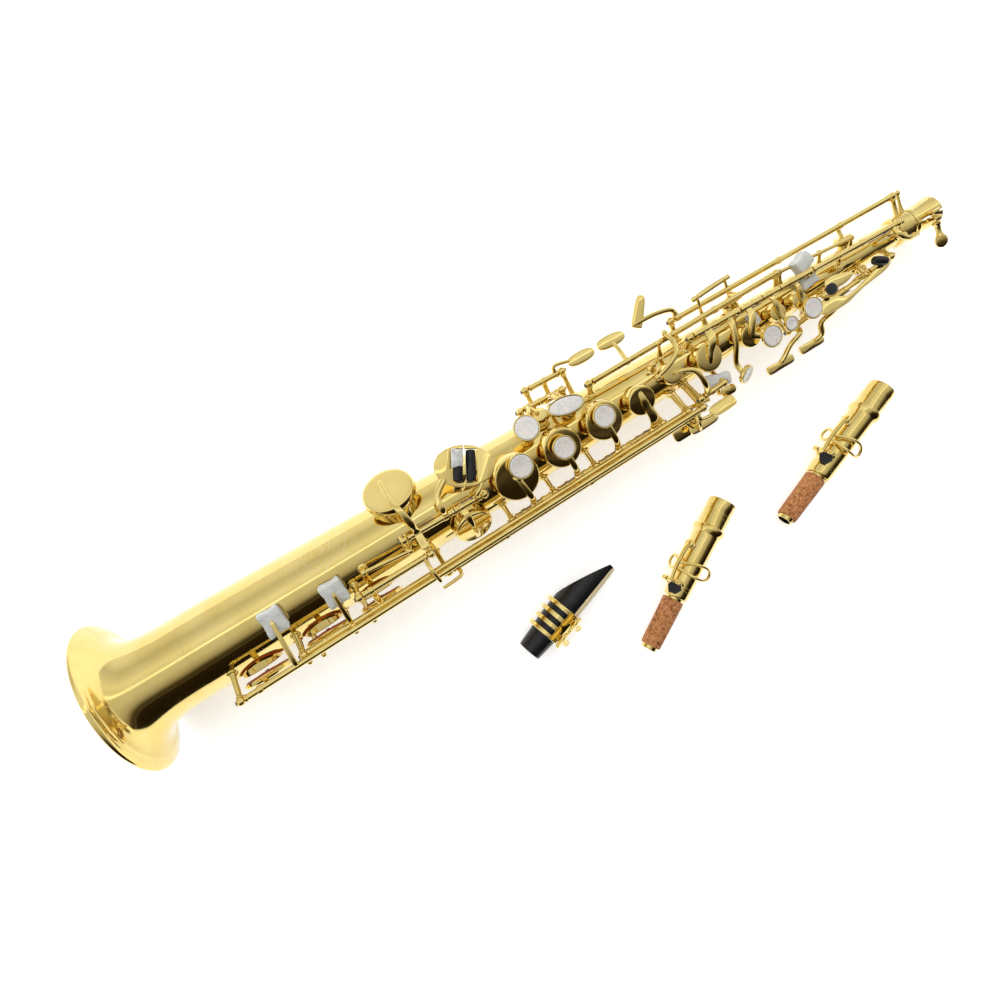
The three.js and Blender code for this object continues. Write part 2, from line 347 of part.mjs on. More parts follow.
// ---------------------------------------------------------------- right-hand side keys and pearl touches on the far side
{
  const bb = join([cup(CUPS.side_bb, 4.0), hinge('side_bb', 288.2, 308.6), bar([at('side_bb', 298.5), [298.7, 29.0, 6.0], onRadial(299, 84, 23.8)], 1.3), bar([at('side_bb', 307.2), [307.6, 36.6, 12.4], [318.5, 34.6, 12.4]], 1.3),
    plate([325.6, 33.0, 12.3], [1, -0.04, 0], [0.04, 1, 0], [0, 0, 1], 18.6, 7.2, 3.0)]);
  node('side_bb_key', bb, 'brass');
  const c = join([cup(CUPS.side_c, 4.0), hinge('side_c', 321.2, 456.8), bar([at('side_c', 430), [430, 19.4, 12.0], onRadial(430, 76, 18.9)], 1.3), bar([at('side_c', 346.4), [346.6, 24.5, 16.5], [347, 30.4, 13.0]], 1.4),
    plate([346.8, 32.4, 12.3], [1, -0.07, 0], [0.07, 1, 0], [0, 0, 1], 19.4, 7.6, 3.0)]);
  node('side_c_key', c, 'brass');
  const e = join([cup(CUPS.high_e, 3.8), hinge('side', 389.0, 560.8), bar([at('side', 520), [520, 20.0, 6.0], onRadial(520, 70, 15.6)], 1.3), bar([at('side', 391.0), [390.4, 29.4, 13.2], [380.0, 32.4, 14.0], [364.6, 33.4, 13.6]], 1.6),
    sheet([370.5, 38.4, 14.6], [0.62, 0.78, 0.12], [-0.78, 0.62, 0], [[-9.6, -2.4], [-8.4, -3.6], [0, -3.4], [9.0, -2.6], [10.6, 0], [9.0, 2.6], [0, 3.4], [-8.4, 3.6], [-9.6, 2.4]], 2.4)]);
  node('high_e_key', e, 'brass');
  const t = join([cup(CUPS.trill, 3.8), hinge('trill', 277.8, 288.4), bar([at('trill', 281.6), onRadial(282.6, 41, 26.0)], 1.3), bar([at('trill', 279.8), [279.4, 21.6, 21.0], [272.0, 14.5, 29.6], stem('trill', -2.0)], 1.3), holder('trill')]);
  node('trill_key', t, 'brass'); node('trill_pearl', pearl('trill'), 'pearl');
  const ellipse = (a, b, n) => Array.from({ length: n }, (_, i) => [a * Math.cos(2 * Math.PI * i / n), b * Math.sin(2 * Math.PI * i / n)]);
  const P = PEARLS.high_fs[0], u = [0.985, -0.17, 0], v = [0.17, 0.985, -0.1];
  const f = join([cup(CUPS.high_fs, 3.8), hinge('trill', 289.0, 302.2), bar([at('trill', 300.4), [300.2, 17.0, 19.8], onRadial(300, 26, 22.6)], 1.3), bar([at('trill', 294.6), [295.0, 20.0, 23.6], [296, 14.0, 29.4], plus(P, [0, 0, -2.7])], 1.4), sheet(plus(P, [0, -0.1, -1.8]), u, v, ellipse(11.2, 5.5, 12), 1.6)]);
  node('high_fs_key', f, 'brass'); node('high_fs_pearl', sheet(P, u, v, ellipse(10.4, 4.8, 12), 1.0), 'pearl');
}
// octave key: long tube along the top, lever at the neck end
node('octave_key', join([hinge('upper_stack', 479.2, 546.0), bar([at('upper_stack', 544.2), [544.6, -3.4, 18.6], [551.0, -8.4, 15.6], [562.0, -9.2, 12.0]], 1.3), bar([at('upper_stack', 500), [500.4, 0.0, 14.2]], 1.3), cyl([500.4, -0.6, 14.6], [500.4, -0.6, 11.4], 2.6, 10)]), 'brass');
// palm keys on the near side
{
  const d = join([cup(CUPS.palm_d, 3.8), hinge('palm', 454.2, 484.4), bar([at('palm', 478), [478, -20.5, 3.0], onRadial(478, -100, 17.2)], 1.2), bar([at('palm', 457), [456.4, -23.6, 11.4], [446.4, -27.4, 10.6], [440.9, -31.6, 8.4], [438.0, -33.6, 6.8]], 1.7), plate([436.8, -34.6, 6.2], [1, 0, 0], [0, 1, 0.2], [0, -0.2, 1], 20.5, 5.6, 2.0)]);
  node('palm_d_key', d, 'brass');
  const e = join([cup(CUPS.palm_eb, 3.8), hinge('palm', 489.6, 516.4), bar([at('palm', 500), [500, -19.0, 3.0], onRadial(500, -100, 16.4)], 1.2), bar([at('palm', 491.6), [491.0, -20.8, 11.8], [481.0, -23.6, 12.0], [471.4, -25.8, 11.6], [469.8, -32.0, 9.0], [466.0, -33.4, 7.0]], 1.7), plate([462.0, -34.2, 6.2], [1, 0, 0], [0, 1, 0.2], [0, -0.2, 1], 18.5, 5.6, 2.0)]);
  node('palm_eb_key', e, 'brass');
  const f = join([cup(CUPS.palm_f, 3.8), hinge('palm', 521.6, 538.0), bar([at('palm', 524), [524, -17.2, 3.0], onRadial(524, -96, 15.4)], 1.2), bar([at('palm', 529.0), [528.0, -15.6, 15.6]], 1.4), sheet([0, 0, 16.0], [1, 0, 0], [0, 1, 0], PALM_PLATE, 1.8)]);
  node('palm_f_key', f, 'brass');
}

// ---------------------------------------------------------------- loose pieces on the table
function loose(from, to, height, roll) {             // frame with +x from one end to the other, z up from the table
  const n = V([-TABLE_SLOPE, 0, 1]).normalize();
  const lift = (p) => V([p[0], p[1], TABLE_Z + TABLE_SLOPE * p[0]]).addScaledVector(n, height);
  const a = lift(from), x = lift(to).sub(a).normalize(), z0 = n.clone(), y0 = z0.clone().cross(x).normalize();
  const z = z0.clone().multiplyScalar(Math.cos(rad(roll))).addScaledVector(y0, Math.sin(rad(roll))), y = z.clone().cross(x);
  const g = new THREE.Group(); g.matrix.makeBasis(x, y, z).setPosition(a); g.matrix.decompose(g.position, g.quaternion, g.scale);
  row.add(g); return g;
}
function neck(prefix, from, to, length) {            // cork end at x = 0, socket end at x = length
  const g = loose(from, to, 10.9, 55), L = length;
  let t = lathe([[0, 4.2], [0, 5.0], [37.5, 5.7], [37.5, 7.2], [39, 8.0], [L - 26, 8.7], [L - 24, 9.2], [L - 21.5, 10.6], [L - 19.5, 10.6], [L - 19, 9.0], [L, 9.0], [L, 7.8], [L - 20, 7.8], [L - 26, 7.6], [40, 6.9], [38.6, 6.2], [37.2, 4.9], [0, 4.2]], 12);
  t = t.add(cyl([L - 36, 0, 7.8], [L - 36, 0, 10.4], 1.7, 8)).subtract(cyl([L - 36, 0, 5.0], [L - 36, 0, 12], 0.8, 8));
  for (const s of [-1, 1]) t = t.add(cyl([L - 62, s * 4.4, 6.0], [L - 62, s * 4.4, 10.6], 1.3, 6)).add(cyl([L - 62, s * 3.5, 10.6], [L - 62, s * 6.2, 10.6], 1.5, 6));
  node(prefix + '_tube', t, 'brass', g);
  const cork = lathe([[2.5, 5.36], [2.5, 6.4], [36, 6.9], [36, 5.98], [2.5, 5.36]], 12);
  node(prefix + '_cork', cork, 'cork', g);
  let k = join([cyl([L - 62, -3.1, 10.6], [L - 62, 3.1, 10.6], 1.5, 8), bar([[L - 62, 0, 11.4], [L - 49, 0, 13.2], [L - 36, 0, 12.6]], 1.4), cyl([L - 36, 0, 10.9], [L - 36, 0, 13.0], 2.9, 6)]);
  const arc = []; for (let i = 0; i <= 4; i++) { const a = rad(-123 + 41 * i); arc.push([L - 49, 12.8 * Math.sin(a), 12.8 * Math.cos(a)]); }
  k = k.add(bar(arc, 1.1));
  node(prefix + '_octave_key', k, 'brass', g);
}
neck('neck_a', [275.1, -147.8], [368.4, -93.1], 108.3);
neck('neck_b', [397.7, -125.1], [504.1, -85.7], 113.6);
{
  const g = loose([208.5, -107.0], [279.8, -83.4], 13.0, -68);
  // mouthpiece: shank at x = 0, tip at x = 75, reed table facing +z
  let m = lathe([[0, 0], [0, 7.7], [13, 8.7], [24, 9.9], [36, 10.2], [75, 10.2], [75, 0]], 14);
  m = m.subtract(plate([62.5, 0, -11.25], [1, 0, 0.449], [0, 1, 0], [-0.449, 0, 1], 64, 30, 22));
  m = m.subtract(plate([50, 0, 13.1], [1, 0, 0.012], [0, 1, 0], [-0.012, 0, 1], 70, 30, 10));
  m = m.subtract(cyl([-1, 0, 0], [26, 0, 0], 6.7, 12)).subtract(cyl([20, 0, 0.4], [52, 0, 2.0], 4.6, 8)).subtract(plate([50, 0, 6.6], [1, 0, 0.02], [0, 1, 0], [-0.02, 0, 1], 25, 9.5, 8));
  node('mouthpiece', m, 'ebonite', g);
  node('reed', sheet([46.4, 0, 9.1], [1, 0, 0.004], [0, 1, 0], [[-27, -5.3], [27, -6.4], [28.4, -4], [28.8, 0], [28.4, 4], [27, 6.4], [-27, 5.3]], 1.2), 'cane', g);
  let l = lathe([[14.5, 11.4], [14.5, 12.2], [36, 12.9], [36, 12.1], [14.5, 11.4]], 14);
  for (const x of [18.9, 25.2, 31.5]) l = l.subtract(plate([x, 0, -3.2], [1, 0, 0], [0, 1, 0], [0, 0, 1], 3.6, 30, 19.6));
  for (const x of [19, 31]) for (const s of [-1, 1]) l = l.add(plate([x, s * 3.6, 13.4], [1, 0, 0], [0, 1, 0], [0, 0, 1], 4.4, 2.0, 5.0));
  l = l.subtract(plate([25, 0, 13], [1, 0, 0], [0, 1, 0], [0, 0, 1], 40, 3.0, 6));
  for (const x of [19, 31]) l = l.subtract(cyl([x, -12, 14.2], [x, 12, 14.2], 1.3, 8));
  node('ligature', l, 'brass', g);
  for (const [name, x] of [['ligature_screw_front', 31], ['ligature_screw_rear', 19]]) {
    node(name, join([cyl([x, -6.4, 14.2], [x, 5.4, 14.2], 0.95, 8), cyl([x, 5.1, 14.2], [x, 8.4, 14.2], 1.9, 8), sheet([x, 11.6, 14.2], [0, 1, 0], [1, 0, 0], [[-3.6, -1.4], [-1.6, -3.6], [1.6, -3.8], [3.2, -1.8], [3.2, 1.8], [1.6, 3.8], [-1.6, 3.6], [-3.6, 1.4]], 1.8)]), 'brass', g);
  }
}
group.userData.design = { CLOSE, LINES, POSTS, HOLES, CUPS, BELL_CUPS, PEARLS, TUBE_PROFILE, BELL_OUTER, SCREW, spurs, wedges, TABLE_SLOPE, TABLE_Z, OFFSET,
  bell: Object.fromEntries(Object.keys(BELL_CUPS).map((n) => [n, openBell(n)])) };
export default group;
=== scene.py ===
# Looks for the soprano saxophone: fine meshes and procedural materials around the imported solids.
# Shapes are laid out in millimetres in the instrument frame (x along the bore from the bell rim, z away from the table)
# and are turned into the row frame, in metres, when a mesh is made.
import bpy
import bmesh
import json
import math
import numpy as np
from mathutils import Matrix, Vector

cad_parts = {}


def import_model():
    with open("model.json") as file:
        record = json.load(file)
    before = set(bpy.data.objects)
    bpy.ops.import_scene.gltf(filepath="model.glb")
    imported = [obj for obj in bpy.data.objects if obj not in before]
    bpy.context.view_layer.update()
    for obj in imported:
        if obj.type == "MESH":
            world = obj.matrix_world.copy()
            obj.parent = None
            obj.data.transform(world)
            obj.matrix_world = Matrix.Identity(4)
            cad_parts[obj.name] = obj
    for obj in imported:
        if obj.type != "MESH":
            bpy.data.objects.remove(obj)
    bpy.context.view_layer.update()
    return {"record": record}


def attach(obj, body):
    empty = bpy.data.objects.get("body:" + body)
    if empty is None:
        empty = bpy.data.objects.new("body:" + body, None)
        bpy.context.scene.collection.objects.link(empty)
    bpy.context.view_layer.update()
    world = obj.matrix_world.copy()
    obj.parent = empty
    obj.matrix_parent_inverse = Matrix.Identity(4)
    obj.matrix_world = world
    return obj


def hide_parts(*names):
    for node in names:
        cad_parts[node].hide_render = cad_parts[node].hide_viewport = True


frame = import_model()
NODE_BODY = {n: b for b, ns in frame["record"]["behaviour"]["bodies"].items() for n in ns}

# tables shared with the solid model, in millimetres in the instrument frame
LINES = {
    'low_bb': [[68.4, -34.8, 26], [365, -31.9, 14.5]],
    'low_b': [[68.4, -32, 22.2], [365, -29.1, 10.7]],
    'cs_lever': [[68.4, -36.4, 21.2], [365, -33.5, 9.7]],
    'low_cs': [[140.8, -20.7, 27], [186.6, -20.7, 26]],
    'low_c_eb': [[177.8, -6.5, 27], [230.6, -7.7, 25]],
    'lower_stack': [[238.3, -29, 9], [347.8, -27.2, 7]],
    'upper_stack': [[384.5, 8.3, 24], [548.4, 3.2, 17]],
    'side': [[385.7, 23.9, 12], [565.6, 20.7, 8]],
    'side_c': [[318, 16.2, 19], [460.4, 15.7, 16]],
    'side_bb': [[285.3, 33, 10], [312, 31.8, 10]],
    'trill': [[275.4, 23.2, 14], [304, 22.1, 11]],
    'gs': [[374, -26.6, 15.6], [392, -25.6, 14.8]],
    'palm': [[450, -19.4, 8], [540, -12.6, 8]],
}
POSTS = [
    ["low_bb", 60.4],
    ["low_bb", 373.9],
    ["low_b", 99.2],
    ["low_b", 366.2],
    ["cs_lever", 190.4, -85],
    ["cs_lever", 366.6, -88],
    ["low_cs", 141.4],
    ["low_cs", 187.2],
    ["low_c_eb", 178.4],
    ["low_c_eb", 230.4],
    ["lower_stack", 238.6],
    ["lower_stack", 269.2],
    ["lower_stack", 299.2],
    ["lower_stack", 349.6],
    ["upper_stack", 385.2],
    ["upper_stack", 420.2],
    ["upper_stack", 476.6],
    ["upper_stack", 548.6],
    ["side", 386.2],
    ["side", 563.6],
    ["side_c", 318.6],
    ["side_c", 459.6],
    ["side_bb", 285.6],
    ["side_bb", 311.2],
    ["trill", 275.2],
    ["trill", 305],
    ["palm", 451.6],
    ["palm", 487],
    ["palm", 519],
    ["palm", 540.4],
    ["gs", 375.2],
    ["gs", 393.4],
]
HOLES = [
    ["low_bb", 72, -95, 12.5, 25.7],
    ["low_b", 113, -95, 12.5, 24.6],
    ["low_cs", 149, -95, 11.6, 23.5],
    ["low_c", 184.9, 48, 14, 24.6],
    ["low_eb", 216.8, -52, 10.4, 22.2],
    ["d", 251.4, -18.4, 12.4, 21.4],
    ["e", 283.3, -16.7, 10.6, 20.2],
    ["f", 313.3, -15.2, 10.5, 19.1],
    ["fs", 340, -20.6, 7.8, 18],
    ["gs", 366, -12, 5.6, 16.6],
    ["g", 391, -20.4, 7.7, 16.1],
    ["a", 422.8, -28, 6.2, 14.9],
    ["bis", 445.7, -17.3, 4.4, 13.9],
    ["b", 463, -20, 4.4, 13.2],
    ["side_bb", 299, 84, 5.2, 19.4],
    ["side_c", 430, 76, 5.4, 14.6],
    ["high_e", 520, 70, 4.6, 11.3],
    ["trill", 283, 40, 4.6, 20.1],
    ["high_fs", 300, 26, 3.6, 19.2],
    ["palm_d", 478, -100, 4.8, 12.9],
    ["palm_eb", 500, -100, 4.6, 12.1],
    ["palm_f", 524, -96, 4.4, 11.1],
]
CUPS = {
    'low_c': [184.9, 35, 15.8, 33.8],
    'low_eb': [216.8, -52, 12, 27.2],
    'd': [251.4, -20.8, 14.2, 28.4],
    'e': [283.3, -19.1, 12.3, 27.2],
    'f': [313.3, -17.6, 12.2, 26.1],
    'fs': [340, -22.9, 9.3, 24.7],
    'gs': [366, -12, 6.9, 21.7],
    'g': [391, -20.4, 9.2, 22.7],
    'a': [422.8, -28, 7.7, 21.6],
    'bis': [445.7, -17.3, 5.7, 20.3],
    'b': [463, -20, 5.7, 19.7],
    'side_bb': [299, 84, 6.6, 24.4],
    'side_c': [430, 76, 6.8, 19.5],
    'high_e': [520, 70, 5.9, 16.2],
    'trill': [283, 40, 5.9, 25.2],
    'high_fs': [300, 26, 4.7, 23.2],
    'palm_d': [478, -100, 6, 17.8],
    'palm_eb': [500, -100, 5.8, 17],
    'palm_f': [524, -96, 5.6, 16],
}
CLOSE = {
    'low_c': ["low_c_eb", -10],
    'd': ["lower_stack", -4.45],
    'e': ["lower_stack", -4.4],
    'f': ["lower_stack", -4.4],
    'fs': ["lower_stack", -3.95],
    'g': ["upper_stack", 5.2],
    'a': ["upper_stack", 5.3],
    'bis': ["upper_stack", 5.7],
    'b': ["upper_stack", 6.1],
}
BELL_CUPS = {
    'low_bb': ["low_bb", 72, 15, 7],
    'low_b': ["low_b", 113, 15, 7],
    'low_cs': ["low_cs", 149, 14, 7],
}
PEARLS = {
    'd': [[255.6, -5.2, 33], 6.6, -14, 0],
    'e': [[282.6, -8.9, 32], 6.2, -14, 0],
    'f': [[312.6, -5.4, 31], 6.2, -12, 0],
    'g': [[408.2, -28.7, 17], 5.2, -52, 18],
    'a': [[432.4, -16.7, 22], 6, -16, 0],
    'bis': [[448.1, -16.2, 21], 3.9, -16, 0],
    'b': [[465.8, -14.9, 21], 5.9, -12, 0],
    'trill': [[269.6, 11.6, 33], 6.9, 6, 0],
    'high_fs': [[296.4, 11.2, 31.6], 0, 6, 0],
}
TUBE_PROFILE = [
    [48.3, 25],
    [65, 24.9],
    [106, 23.9],
    [131, 23.25],
    [560, 7.7],
]
BELL_OUTER = [
    [47.7, 25],
    [38, 25.05],
    [30, 25.3],
    [22.5, 26],
    [16, 27.4],
    [11, 29.9],
    [7, 33.8],
    [4.6, 38],
    [3.4, 41.8],
]
SCREW = {
    'from': [579.7, 0.87, 13.16],
    'to': [579.7, -26.13, 4.16],
}
BELL = {
    'low_bb': {"centre": [72, -29.245, -3.1419], "normal": [0, -0.9994, 0.0349], "r": 15, "H": [72, -34.7648, 25.8604]},
    'low_b': {"centre": [113, -27.465, -2.8303], "normal": [0, -0.9994, 0.0349], "r": 15, "H": [113, -31.5639, 20.4707]},
    'low_cs': {"centre": [149, -27.0585, -1.4974], "normal": [0, -0.9994, 0.0349], "r": 14, "H": [149, -20.7, 26.821]},
}
OFFSET = [-294.09, 53.155, 46.05]
TABLE_SLOPE = 0.0387
TABLE_Z = -46.08

BETA = math.atan(TABLE_SLOPE)
CB, SB = math.cos(BETA), math.sin(BETA)
ROT = np.array([[CB, 0, SB], [0, 1, 0], [-SB, 0, CB]])
rad = math.radians
A = lambda *v: np.array(v, float)


def world(p):
    return (np.asarray(p, float).reshape(-1, 3) @ ROT.T + np.array(OFFSET)) / 1000.0


def unit(v):
    v = np.asarray(v, float)
    return v / max(np.linalg.norm(v), 1e-12)


def at(line, x):
    p, q = A(*LINES[line][0]), A(*LINES[line][1])
    return p + (x - p[0]) / (q[0] - p[0]) * (q - p)


def radial(deg):
    return A(0, math.sin(rad(deg)), math.cos(rad(deg)))


def on(x, deg, r):
    return A(x, r * math.sin(rad(deg)), r * math.cos(rad(deg)))


def tube_r(x):
    P = TUBE_PROFILE
    for a, b in zip(P, P[1:]):
        if x <= b[0]:
            return a[1] + (b[1] - a[1]) * (x - a[0]) / (b[0] - a[0])
    return 7.7


def swing(line, p, deg):
    a, b = A(*LINES[line][0]), A(*LINES[line][1])
    k = unit(b - a)
    v = np.asarray(p, float) - a
    t = rad(deg)
    return a + v * math.cos(t) + np.cross(k, v) * math.sin(t) + k * (k @ v) * (1 - math.cos(t))


HOLE = {h[0]: h for h in HOLES}


def standing(name, r0):
    line, deg = CLOSE[name]
    return swing(line, on(HOLE[name][1], HOLE[name][2], r0), -deg)


# ------------------------------------------------------------------ mesh pieces
class Mesh:
    def __init__(self):
        self.v, self.f, self.m = [], [], []

    def add(self, vf, mat=0):
        v, f = vf
        k = len(self.v)
        self.v.extend(np.asarray(v, float).reshape(-1, 3).tolist())
        self.f.extend([[i + k for i in face] for face in f])
        self.m.extend([mat] * len(f))
        return self


def basis(d, up=None):
    d = unit(d)
    up = np.asarray(up if up is not None else ([0, 0, 1] if abs(d[2]) < 0.9 else [0, 1, 0]), float)
    u = np.cross(up, d)
    if np.linalg.norm(u) < 1e-4:
        u = np.cross([1, 0, 0] if abs(d[0]) < 0.9 else [0, 1, 0], d)
    u = unit(u)
    return u, np.cross(d, u)


def soften(profile, c=0.3, k=3, limit=20):
    out, n = [profile[0]], len(profile)
    for i in range(1, n - 1):
        a, b, d = np.array(profile[i - 1], float), np.array(profile[i], float), np.array(profile[i + 1], float)
        p, q = a - b, d - b
        lp, lq = np.linalg.norm(p), np.linalg.norm(q)
        if lp < 1e-6 or lq < 1e-6:
            continue
        turn = math.degrees(math.acos(max(-1, min(1, float(-(p @ q) / lp / lq)))))
        if turn < limit:
            out.append(tuple(b))
            continue
        e = min(c, lp * 0.45, lq * 0.45)
        s, t = b + p / lp * e, b + q / lq * e
        for j in range(k + 1):
            w = j / k
            out.append(tuple((1 - w) ** 2 * s + 2 * w * (1 - w) * b + w * w * t))
    out.append(profile[-1])
    return out


def spin(profile, o, d, n=40, soft=0.0, up=None, full=None):
    """Solid of revolution: profile of (distance along d from o, radius)."""
    ring = profile[0][1] > 1e-6 and profile[-1][1] > 1e-6
    if soft:
        if ring:
            k = len(profile)
            p = soften([profile[-1]] + list(profile) + [profile[0]], soft)[1:-1]
            profile = p
        else:
            profile = soften(profile, soft)
    d = unit(d)
    u, w = basis(d, up)
    o = np.asarray(o, float)
    v, f, rows = [], [], []
    ca = np.cos(2 * np.pi * np.arange(n) / n)
    sa = np.sin(2 * np.pi * np.arange(n) / n)
    for t, r in profile:
        if r <= 1e-6:
            rows.append([len(v)])
            v.append(o + d * t)
        else:
            rows.append(list(range(len(v), len(v) + n)))
            v.extend(list(o + d * t + np.outer(ca * r, u) + np.outer(sa * r, w)))
    pairs = list(zip(rows, rows[1:]))
    if ring:
        pairs.append((rows[-1], rows[0]))
    for a, b in pairs:
        if len(a) == 1 and len(b) == 1:
            continue
        for i in range(n):
            j = (i + 1) % n
            if len(a) == 1:
                f.append([a[0], b[i], b[j]])
            elif len(b) == 1:
                f.append([a[i], b[0], a[j]])
            else:
                f.append([a[i], b[i], b[j], a[j]])
    return np.array(v), f


def rod(p, q, r, n=20, soft=0.25, r2=None):
    p, q = np.asarray(p, float), np.asarray(q, float)
    L = np.linalg.norm(q - p)
    return spin([(0, 0), (0, r), (L, r2 if r2 is not None else r), (L, 0)], p, q - p, n, min(soft, r * 0.4))


def ball(c, r, n=24, squash=1.0, d=(0, 0, 1)):
    return spin([(-r * squash * math.cos(math.pi * i / 14), r * math.sin(math.pi * i / 14)) for i in range(15)], c, d, n)


def spline(points, step=1.6):
    P = [np.asarray(p, float) for p in points]
    if len(P) == 2:
        L = np.linalg.norm(P[1] - P[0])
        k = max(2, int(L / step / 2))
        return [P[0] + (P[1] - P[0]) * i / k for i in range(k + 1)], [i / k for i in range(k + 1)]
    out, par = [], []
    E = [2 * P[0] - P[1]] + P + [2 * P[-1] - P[-2]]
    for i in range(1, len(E) - 2):
        p0, p1, p2, p3 = E[i - 1], E[i], E[i + 1], E[i + 2]
        t = [0]
        for a, b in ((p0, p1), (p1, p2), (p2, p3)):
            t.append(t[-1] + max(np.linalg.norm(b - a) ** 0.5, 1e-4))
        k = max(3, int(np.linalg.norm(p2 - p1) / step))
        for j in range(k + (i == len(E) - 3)):
            s = t[1] + (t[2] - t[1]) * j / k
            a1 = (t[1] - s) / (t[1] - t[0]) * p0 + (s - t[0]) / (t[1] - t[0]) * p1
            a2 = (t[2] - s) / (t[2] - t[1]) * p1 + (s - t[1]) / (t[2] - t[1]) * p2
            a3 = (t[3] - s) / (t[3] - t[2]) * p2 + (s - t[2]) / (t[3] - t[2]) * p3
            b1 = (t[2] - s) / (t[2] - t[0]) * a1 + (s - t[0]) / (t[2] - t[0]) * a2
            b2 = (t[3] - s) / (t[3] - t[1]) * a2 + (s - t[1]) / (t[3] - t[1]) * a3
            out.append((t[2] - s) / (t[2] - t[1]) * b1 + (s - t[1]) / (t[2] - t[1]) * b2)
            par.append((i - 1) + j / k)
    return out, [x / (len(P) - 1) for x in par]


def sweep(points, w, h=None, n=14, up=None, power=2.3, cap=1.0, step=1.6):
    """Tapered arm along a smooth path. w and h are full widths, a number or one per control point."""
    pts, par = spline(points, step)
    m = len(points)
    ww = np.interp(par, np.linspace(0, 1, m), w if hasattr(w, "__len__") else [w] * m)
    hh = ww if h is None else np.interp(par, np.linspace(0, 1, m), h if hasattr(h, "__len__") else [h] * m)
    pts = np.array(pts)
    tan = np.gradient(pts, axis=0)
    tan = np.array([unit(t) for t in tan])
    if up is None:
        ups = np.array([[0, p[1], p[2]] if math.hypot(p[1], p[2]) > 3 else [0, 0, 1] for p in pts])
    else:
        ups = np.tile(np.asarray(up, float), (len(pts), 1))
    v, f, rows = [], [], []
    ang = 2 * np.pi * np.arange(n) / n
    cx = np.sign(np.cos(ang)) * np.abs(np.cos(ang)) ** (2 / power)
    cy = np.sign(np.sin(ang)) * np.abs(np.sin(ang)) ** (2 / power)
    last = None
    frames = []
    for t, uu in zip(tan, ups):
        b = np.cross(t, uu)
        if np.linalg.norm(b) < 0.15 * np.linalg.norm(uu):
            b = last if last is not None else basis(t)[0]
            b = b - t * (b @ t)
        b = unit(b)
        if last is not None and b @ last < 0:
            b = -b
        last = b
        frames.append((b, np.cross(b, t)))
    seq = []
    a0 = cap * min(ww[0], hh[0]) / 2
    a1 = cap * min(ww[-1], hh[-1]) / 2
    for s in (1.0, 0.7, 0.35):
        k = math.sqrt(max(0.0, 1 - s * s))
        seq.append((pts[0] - tan[0] * a0 * s, 0, k))
    seq += [(pts[i], i, 1.0) for i in range(len(pts))]
    for s in (0.35, 0.7, 1.0):
        k = math.sqrt(max(0.0, 1 - s * s))
        seq.append((pts[-1] + tan[-1] * a1 * s, len(pts) - 1, k))
    for c, i, k in seq:
        b, nrm = frames[i]
        if k < 1e-3:
            rows.append([len(v)])
            v.append(c)
        else:
            rows.append(list(range(len(v), len(v) + n)))
            v.extend(list(c + np.outer(cx * ww[i] / 2 * k, b) + np.outer(cy * hh[i] / 2 * k, nrm)))
    for a, b in zip(rows, rows[1:]):
        for i in range(n):
            j = (i + 1) % n
            if len(a) == 1:
                f.append([a[0], b[i], b[j]])
            elif len(b) == 1:
                f.append([a[i], b[0], a[j]])
            else:
                f.append([a[i], b[i], b[j], a[j]])
    return np.array(v), f


def closed_curve(points, n=56):
    P = np.array(points, float)
    m = len(P)
    out = []
    for k in range(n):
        s = k * m / n
        i, t = int(s) % m, s - int(s)
        p0, p1, p2, p3 = P[i - 1], P[i], P[(i + 1) % m], P[(i + 2) % m]
        out.append(0.5 * ((2 * p1) + (p2 - p0) * t + (2 * p0 - 5 * p1 + 4 * p2 - p3) * t * t + (3 * p1 - p0 - 3 * p2 + p3) * t ** 3))
    return np.array(out)


def rect(lu, lv, r=1.0, k=4):
    r = min(r, lu / 2 - 0.01, lv / 2 - 0.01)
    out = []
    for cx, cy, a in ((1, 1, 0), (-1, 1, 90), (-1, -1, 180), (1, -1, 270)):
        for j in range(k + 1):
            t = rad(a + 90 * j / k)
            out.append((cx * (lu / 2 - r) + r * math.cos(t), cy * (lv / 2 - r) + r * math.sin(t)))
    return np.array(out)


def oval(a, b, n=48):
    t = 2 * np.pi * np.arange(n) / n
    return np.stack([a * np.cos(t), b * np.sin(t)], 1)


